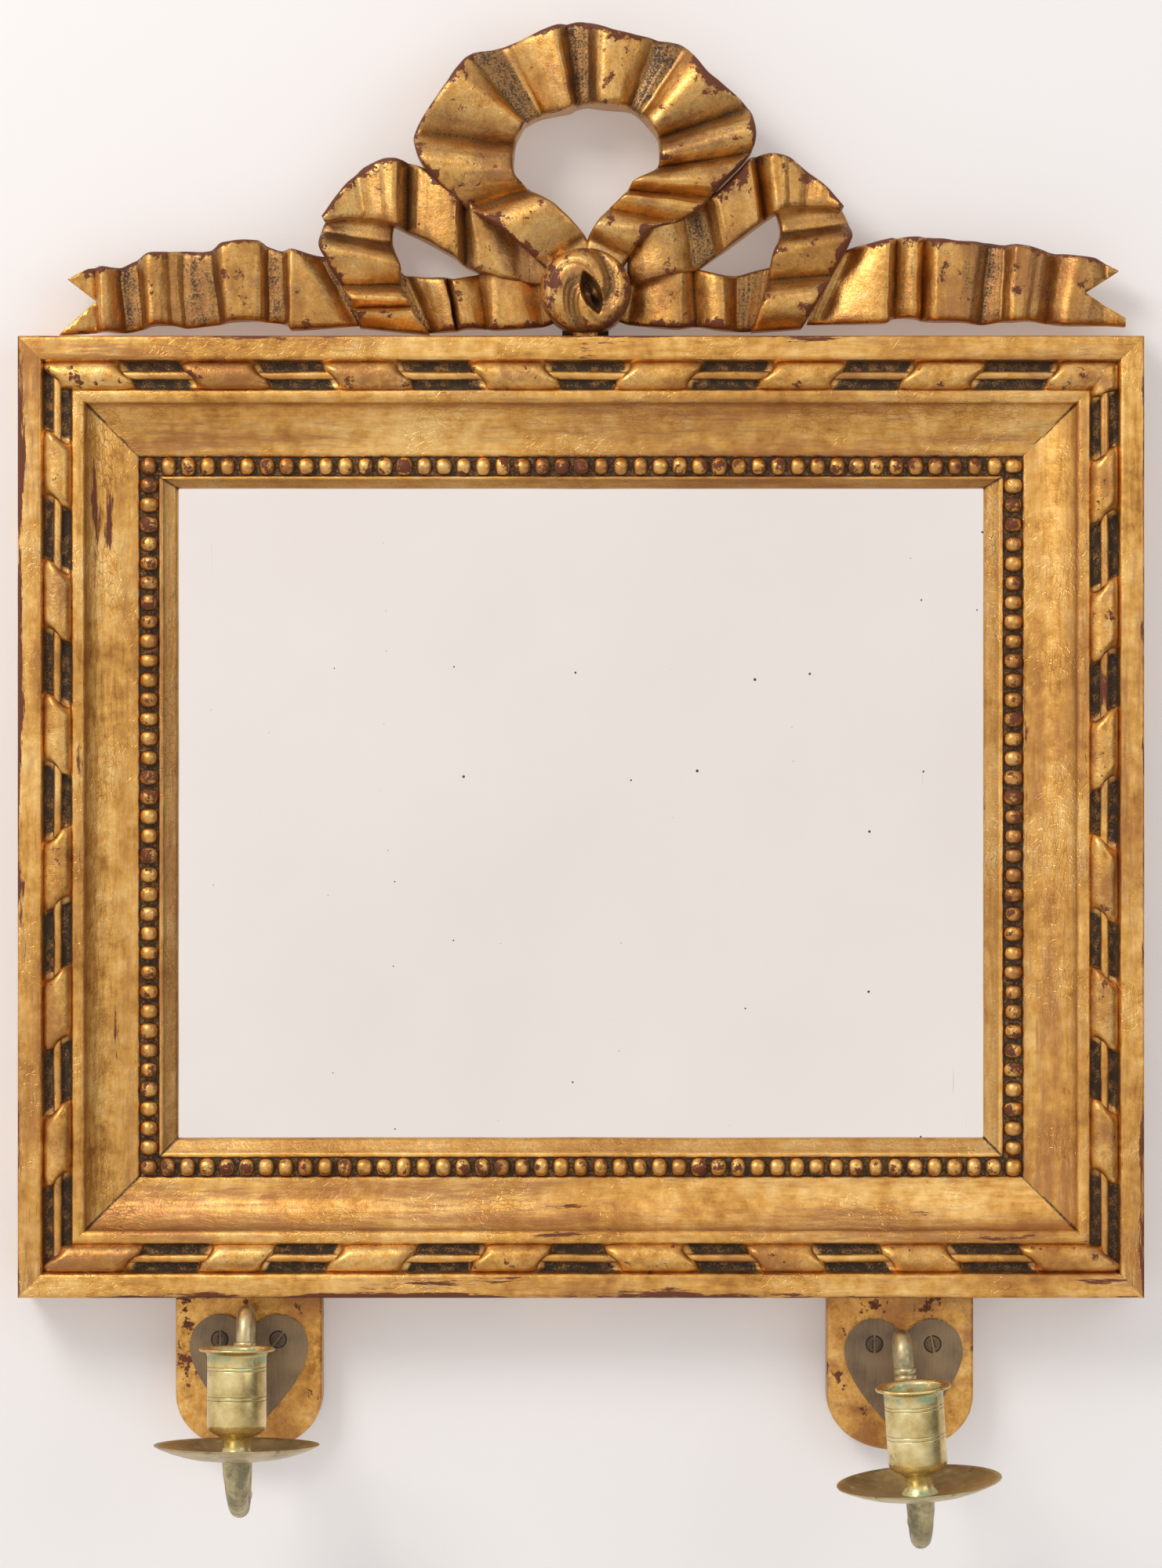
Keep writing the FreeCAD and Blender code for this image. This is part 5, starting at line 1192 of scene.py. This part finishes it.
def screwShape():   # a slotted head, domed a little, standing on the plate
    head = sconceSizes["screwHead"]
    rings = [(head + 0.4, -0.35), (head + 0.4, 0.05), (head, 0.06), (head * 0.93, 0.28), (head * 0.6, 0.42),
             (head * 0.25, 0.46)]
    points, faces = turnedGrid(rings, sconceSizes["screwSides"])
    for k, p in enumerate(points):
        if abs(p.x) < 0.45 and p.z > 0.2:
            points[k] = Vector((p.x, p.y, -0.15))
    screw = carveOut(putMesh("screw", points, faces, screwSteel, 30), slotShape())
    # grime round the head and in the slot
    grimy = [v.co.to_2d().length / mm > head - 0.1 or v.co.z < 0 for v in screw.data.vertices]
    paint(screw, patina=[0.9 if dark else 0.0 for dark in grimy])
    return screw


def makeScrews(side):
    z, n = sconceSizes, sconceSizes[side]
    front = -(z["boardThick"] + z["heartThick"])
    places = [(n["heartX"] - z["screwSpread"], front, n["heartTop"] - z["screwDrop"]),
              (n["heartX"] + z["screwSpread"], front, n["heartTop"] - z["screwDrop"]),
              (n["heartX"], front, n["heartTop"] - z["tipScrewDrop"])]
    facing = Matrix.Rotation(math.radians(90), 3, "X")
    turns = [tuple((facing @ Matrix.Rotation(math.radians(a), 3, "Z")).to_euler()) for a in n["slots"]]
    layout = layoutMesh(places, turns, [(1, 1, 1)] * 3)
    screws = repeatAlong("heartScrews_" + side, placedTree, layout, screwShape(), screwSteel)
    return onBody(screws, "frame", "steel_screws", "heart_screws_" + side)


for side in ("left", "right"):
    makeBoard(side)
    makeHeart(side)
    makeScrews(side)
print("sconce boards, hearts and screws made")

armSizes = {
    "steps": 9, "sides": 20, "reach": 66.5, "panHeight": -26.0,
    "pin": [(2.6, -10, 0), (3.0, -9.6, 0), (3.0, 9.0, 0)],   # radius, height, grime
    "ringForward": 18.1, "ringHeights": (17.5, 14.6),
    "knob": 4.3, "knobPlace": (0, -28.8, -45.6), "knobTurn": 72.0, "knobForward": 3.6, "knobSteps": 8,
    "knobNeck": [(1.2, -1.5, 0.3), (2.2, 0.2, 0.3)],
    "ring": [
        (3.85, -1.35, 0.4), (4.35, -1.1, 0.3), (4.68, -0.5, 0.1), (4.7, 0.0, 0.0), (4.68, 0.5, 0.1),
        (4.35, 1.1, 0.3), (3.85, 1.35, 0.4),
    ],
    "route": [   # (forward, height, radius) in the arm's own frame, from the pivot
        (0, 8.3, 3.9), (0, 14.4, 3.9), (0, 20.5, 3.9), (2.64, 26.86, 3.9), (9, 29.5, 3.95),
        (15.36, 26.86, 3.9), (18, 20.5, 3.9), (18.6, 8.0, 3.8), (21.5, -5.0, 3.7), (26.2, -18.6, 3.8),
        (28.5, -33.3, 3.9), (36.5, -45.6, 4.0), (47.5, -48.6, 4.1), (58.9, -44.9, 4.3), (65.2, -38.5, 4.9),
        (66.5, -31.9, 5.7), (66.5, -27.1, 6.0),
    ],
    "pan": [   # radius, height, grime
        (0.05, 0.0, 0.3), (9.0, 0.0, 0.3), (13.0, 0.12, 0.3), (18.0, 0.72, 0.3), (23.0, 1.75, 0.3),
        (28.0, 3.2, 0.3), (32.0, 4.75, 0.3), (33.9, 5.55, 0.3), (34.3, 5.5, 0.3), (34.25, 5.1, 0.3),
        (32.2, 4.1, 0.3), (28.0, 2.4, 0.3), (23.0, 0.85, 0.3), (18.0, -0.25, 0.3), (13.0, -0.9, 0.3),
        (9.0, -1.1, 0.3), (0.05, -1.1, 0.3),
    ],
    "nozzle": [   # radius, height above the pan, grime
        (2.5, -9.0, 0.5), (2.5, 0.0, 0.5), (7.4, 0.02, 0.55), (7.6, 0.5, 0.5), (7.1, 1.3, 0.5),
        (6.1, 2.6, 0.42), (5.7, 4.4, 0.36), (5.75, 6.2, 0.36), (6.3, 7.8, 0.38), (7.6, 9.0, 0.3),
        (9.6, 10.0, 0.2), (11.2, 11.1, 0.12), (12.05, 12.5, 0.06), (12.3, 14.0, 0.02), (12.3, 23.6, 0.0),
        (12.26, 23.85, 0.4), (12.05, 24.0, 0.7), (12.26, 24.15, 0.4), (12.3, 24.4, 0.1), (12.3, 25.2, 0.1),
        (12.26, 25.4, 0.4), (12.05, 25.55, 0.7), (12.26, 25.7, 0.4), (12.3, 25.95, 0.05),
        (12.3, 35.9, 0.05), (12.26, 36.15, 0.4), (12.05, 36.3, 0.7), (12.26, 36.45, 0.4), (12.3, 36.7, 0.1),
        (12.3, 37.4, 0.1), (12.26, 37.6, 0.4), (12.05, 37.75, 0.7), (12.26, 37.9, 0.4), (12.3, 38.15, 0.2),
        (12.3, 40.0, 0.45), (12.3, 41.8, 0.5), (12.55, 42.9, 0.42), (13.4, 43.7, 0.22), (14.8, 44.0, 0.05),
        (15.5, 44.2, 0.0), (15.7, 44.6, 0.0), (15.7, 45.0, 0.0), (15.4, 45.35, 0.0), (14.6, 45.4, 0.0),
        (12.6, 45.15, 0.25), (11.5, 44.7, 0.4), (11.2, 43.8, 0.5), (11.2, 30.0, 0.3), (11.2, 13.2, 0.3),
        (10.6, 13.0, 0.3), (0.05, 13.0, 0.3),
    ],
}


def makeArm(side):
    a = armSizes
    place = armPlace(side)
    stations = [(Vector((0, -forward, height)), radius) for forward, height, radius in a["route"]]
    points, faces = tubeGrid(smoothRoute(stations, a["steps"]), a["sides"], Vector((1, 0, 0)), place)
    bar = facesOut(putMesh("bar", points, faces, greenBrass, 40))
    grime = []
    for p in points:   # greener where it hangs lowest
        grime.append((0.30 if p[2] > -262 else 0.46) + 0.25 * max(0, wobble(p[0], p[1], p[2], 11, 1.6)))
    paint(bar, patina=grime)
    pin = makeTurned("pin", a["pin"], 18, place, greenBrass, 0.3)
    rings = []
    for height in a["ringHeights"]:
        seat = place @ Matrix.Translation((0, -a["ringForward"], height))
        rings.append(makeTurned("ring", a["ring"], 24, seat, greenBrass, 0.15))
    tail = Matrix.Translation(a["knobPlace"]) @ Matrix.Rotation(math.radians(a["knobTurn"]), 4, "X")
    ball = []
    for k in range(a["knobSteps"] + 1):
        angle = math.pi * (0.16 + 0.8 * k / a["knobSteps"])
        ball.append((a["knob"] * math.sin(angle), a["knobForward"] - a["knob"] * math.cos(angle), 0.2))
    knob = makeTurned("knob", a["knobNeck"] + ball, 20, place @ tail, greenBrass, 0.1)
    arm = joinPieces("candleArm_" + side, [bar, pin, knob] + rings)
    return onBody(arm, "arm_" + side, "green_brass", "candle_arm_" + side)


def panSeat(side):
    return armPlace(side) @ Matrix.Translation((0, -armSizes["reach"], armSizes["panHeight"]))


def makePan(side):
    pan = makeTurned("dripPan_" + side, armSizes["pan"], 72, panSeat(side), greenBrass, 0.0, 60)
    return onBody(pan, "arm_" + side, "green_brass", "drip_pan_" + side)


def makeNozzle(side):
    nozzle = makeTurned("candleNozzle_" + side, armSizes["nozzle"], 64, panSeat(side), wornBrass, 0.0, 50)
    return onBody(nozzle, "arm_" + side, "worn_brass", "candle_nozzle_" + side)


for side in ("left", "right"):
    makeArm(side)
    makePan(side)
    makeNozzle(side)
print("arms, pans and nozzles made")

# the plain pieces behind and the plate keep their solids, with these finishes
carried = {
    "mirror_plate": oldMirror, "glazing_strips": stripPine, "back_board": boardPine,
    "back_board_nails": forgedIron, "mitre_keys": giltCarved, "crest_peg": giltCarved,
    "hanging_plate": forgedIron, "hanging_screws": screwSteel, "sconce_screws": screwSteel,
}
for name, finish in carried.items():
    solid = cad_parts[name].data
    solid.materials.clear()
    solid.materials.append(finish)
print("carried pieces finished")

# a pale floor well below, and a pale wall card just behind that takes the soft shadow
stageSizes = {
    "floorRadius": 850.0, "floorHeight": -460.0, "floorSides": 64, "floorTones": (0.84, 0.88),
    "wallBehind": 3.0, "wallHalfWide": 640.0, "wallLow": -460.0, "wallHigh": 900.0,
    "plaster": (0.92, 0.87, 0.85), "glow": (0.955, 0.945, 0.95), "glowShare": 0.16,
}


def makeFloor():
    n = stageSizes
    rim = [(math.cos(angle) * n["floorRadius"], math.sin(angle) * n["floorRadius"], n["floorHeight"])
           for angle in ringOf(n["floorSides"])]
    material, tree, shader = newMaterial("paleFloor")
    pale, paler = n["floorTones"]
    tone = ramp(tree, grainOf(tree, objectPlaces(tree), 3, 2), [(0.3, pale), (0.7, paler)])
    feed(tree, shader.inputs["Base Color"], tone)
    shader.inputs["Roughness"].default_value = 0.8
    return putMesh("paleFloor", rim, [tuple(range(n["floorSides"]))], material)


def makeWall():
    n = stageSizes
    material, tree, shader = newMaterial("paleWall")
    feed(tree, shader.inputs["Base Color"], n["plaster"])
    shader.inputs["Roughness"].default_value = 0.9
    shader.inputs["Specular IOR Level"].default_value = 0.1
    front = less(tree, 1.0, addNode(tree, "ShaderNodeNewGeometry").outputs["Backfacing"])
    rays = addNode(tree, "ShaderNodeLightPath").outputs
    # it is there for the camera and in reflections, from the room's side alone
    shown = times(tree, calc(tree, "MAXIMUM", rays["Is Camera Ray"], rays["Is Glossy Ray"]), front)
    clear = addNode(tree, "ShaderNodeBsdfTransparent").outputs[0]
    glow = addNode(tree, "ShaderNodeEmission", {"Color": n["glow"], "Strength": 1.0}).outputs[0]
    lit = addNode(tree, "ShaderNodeMixShader", {0: n["glowShare"], 1: shader.outputs[0], 2: glow})
    card = addNode(tree, "ShaderNodeMixShader", {0: shown, 1: clear, 2: lit.outputs[0]})
    tree.links.new(card.outputs[0], tree.nodes["Material Output"].inputs["Surface"])
    w, y = n["wallHalfWide"], n["wallBehind"]
    corners = [(-w, y, n["wallLow"]), (w, y, n["wallLow"]), (w, y, n["wallHigh"]), (-w, y, n["wallHigh"])]
    return putMesh("paleWall", corners, [(0, 1, 2, 3)], material)


floor = makeFloor()
wall = makeWall()

# a bright room in front and above, darker to the sides and behind, so that the gold has something to show
roomLook = {
    "seen": (0.955, 0.950, 0.955), "light": 0.58, "glossHigh": 1.0, "glossLow": 0.16, "front": 0.94,
    "brightest": (-0.58, -0.64, 0.50), "glowSteps": (0.30, 0.86), "frontSteps": (0.80, 0.93),
}
world = bpy.data.worlds.new("paleRoom")
bpy.context.scene.world = world
world.use_nodes = True
room = world.node_tree
room.nodes.clear()


def towards(direction, axis):
    made = addNode(room, "ShaderNodeVectorMath", {0: direction, 1: axis}, operation="DOT_PRODUCT")
    return made.outputs["Value"]


direction = addNode(room, "ShaderNodeTexCoord").outputs["Generated"]
height = plus(room, times(room, towards(direction, roomLook["brightest"]), 0.5), 0.5)
glow = ramp(room, height, list(zip(roomLook["glowSteps"], (roomLook["glossLow"], roomLook["glossHigh"]))))
front = maskFrom(room, towards(direction, (0, -1, 0)), *roomLook["frontSteps"], roomLook["front"])
gloss = calc(room, "MAXIMUM", glow, front)
rays = addNode(room, "ShaderNodeLightPath").outputs
seen = calc(room, "MAXIMUM", rays["Is Camera Ray"], rays["Is Transmission Ray"])
unseen = blendColours(room, rays["Is Glossy Ray"], (roomLook["light"],) * 3, gloss)
colour = blendColours(room, seen, unseen, roomLook["seen"])
background = addNode(room, "ShaderNodeBackground", {"Color": colour, "Strength": 1.0})
room.links.new(background.outputs[0], addNode(room, "ShaderNodeOutputWorld").inputs["Surface"])

lampSizes = {   # place and size in metres, watts, colour
    "windowLamp": ((-1.0, -1.3, 1.15), 0.75, 17.5, (1.0, 0.985, 0.96)),
    "fillLamp": ((1.25, -1.2, 0.35), 1.0, 3.8, (0.95, 0.97, 1.0)),
    "rearLamp": ((0.3, 1.2, 1.0), 0.9, 4.0, (1.0, 1.0, 1.0)),
}
for name, (spot, size, power, tint) in lampSizes.items():
    data = bpy.data.lights.new(name, "AREA")
    data.size = size
    data.energy = power
    data.color = tint
    lamp = addObject(name, data)
    lamp.location = spot
    lamp.rotation_euler = (-Vector(spot)).to_track_quat("-Z", "Y").to_euler()

bpy.context.scene.view_settings.view_transform = "Standard"
print("stage and lights set")
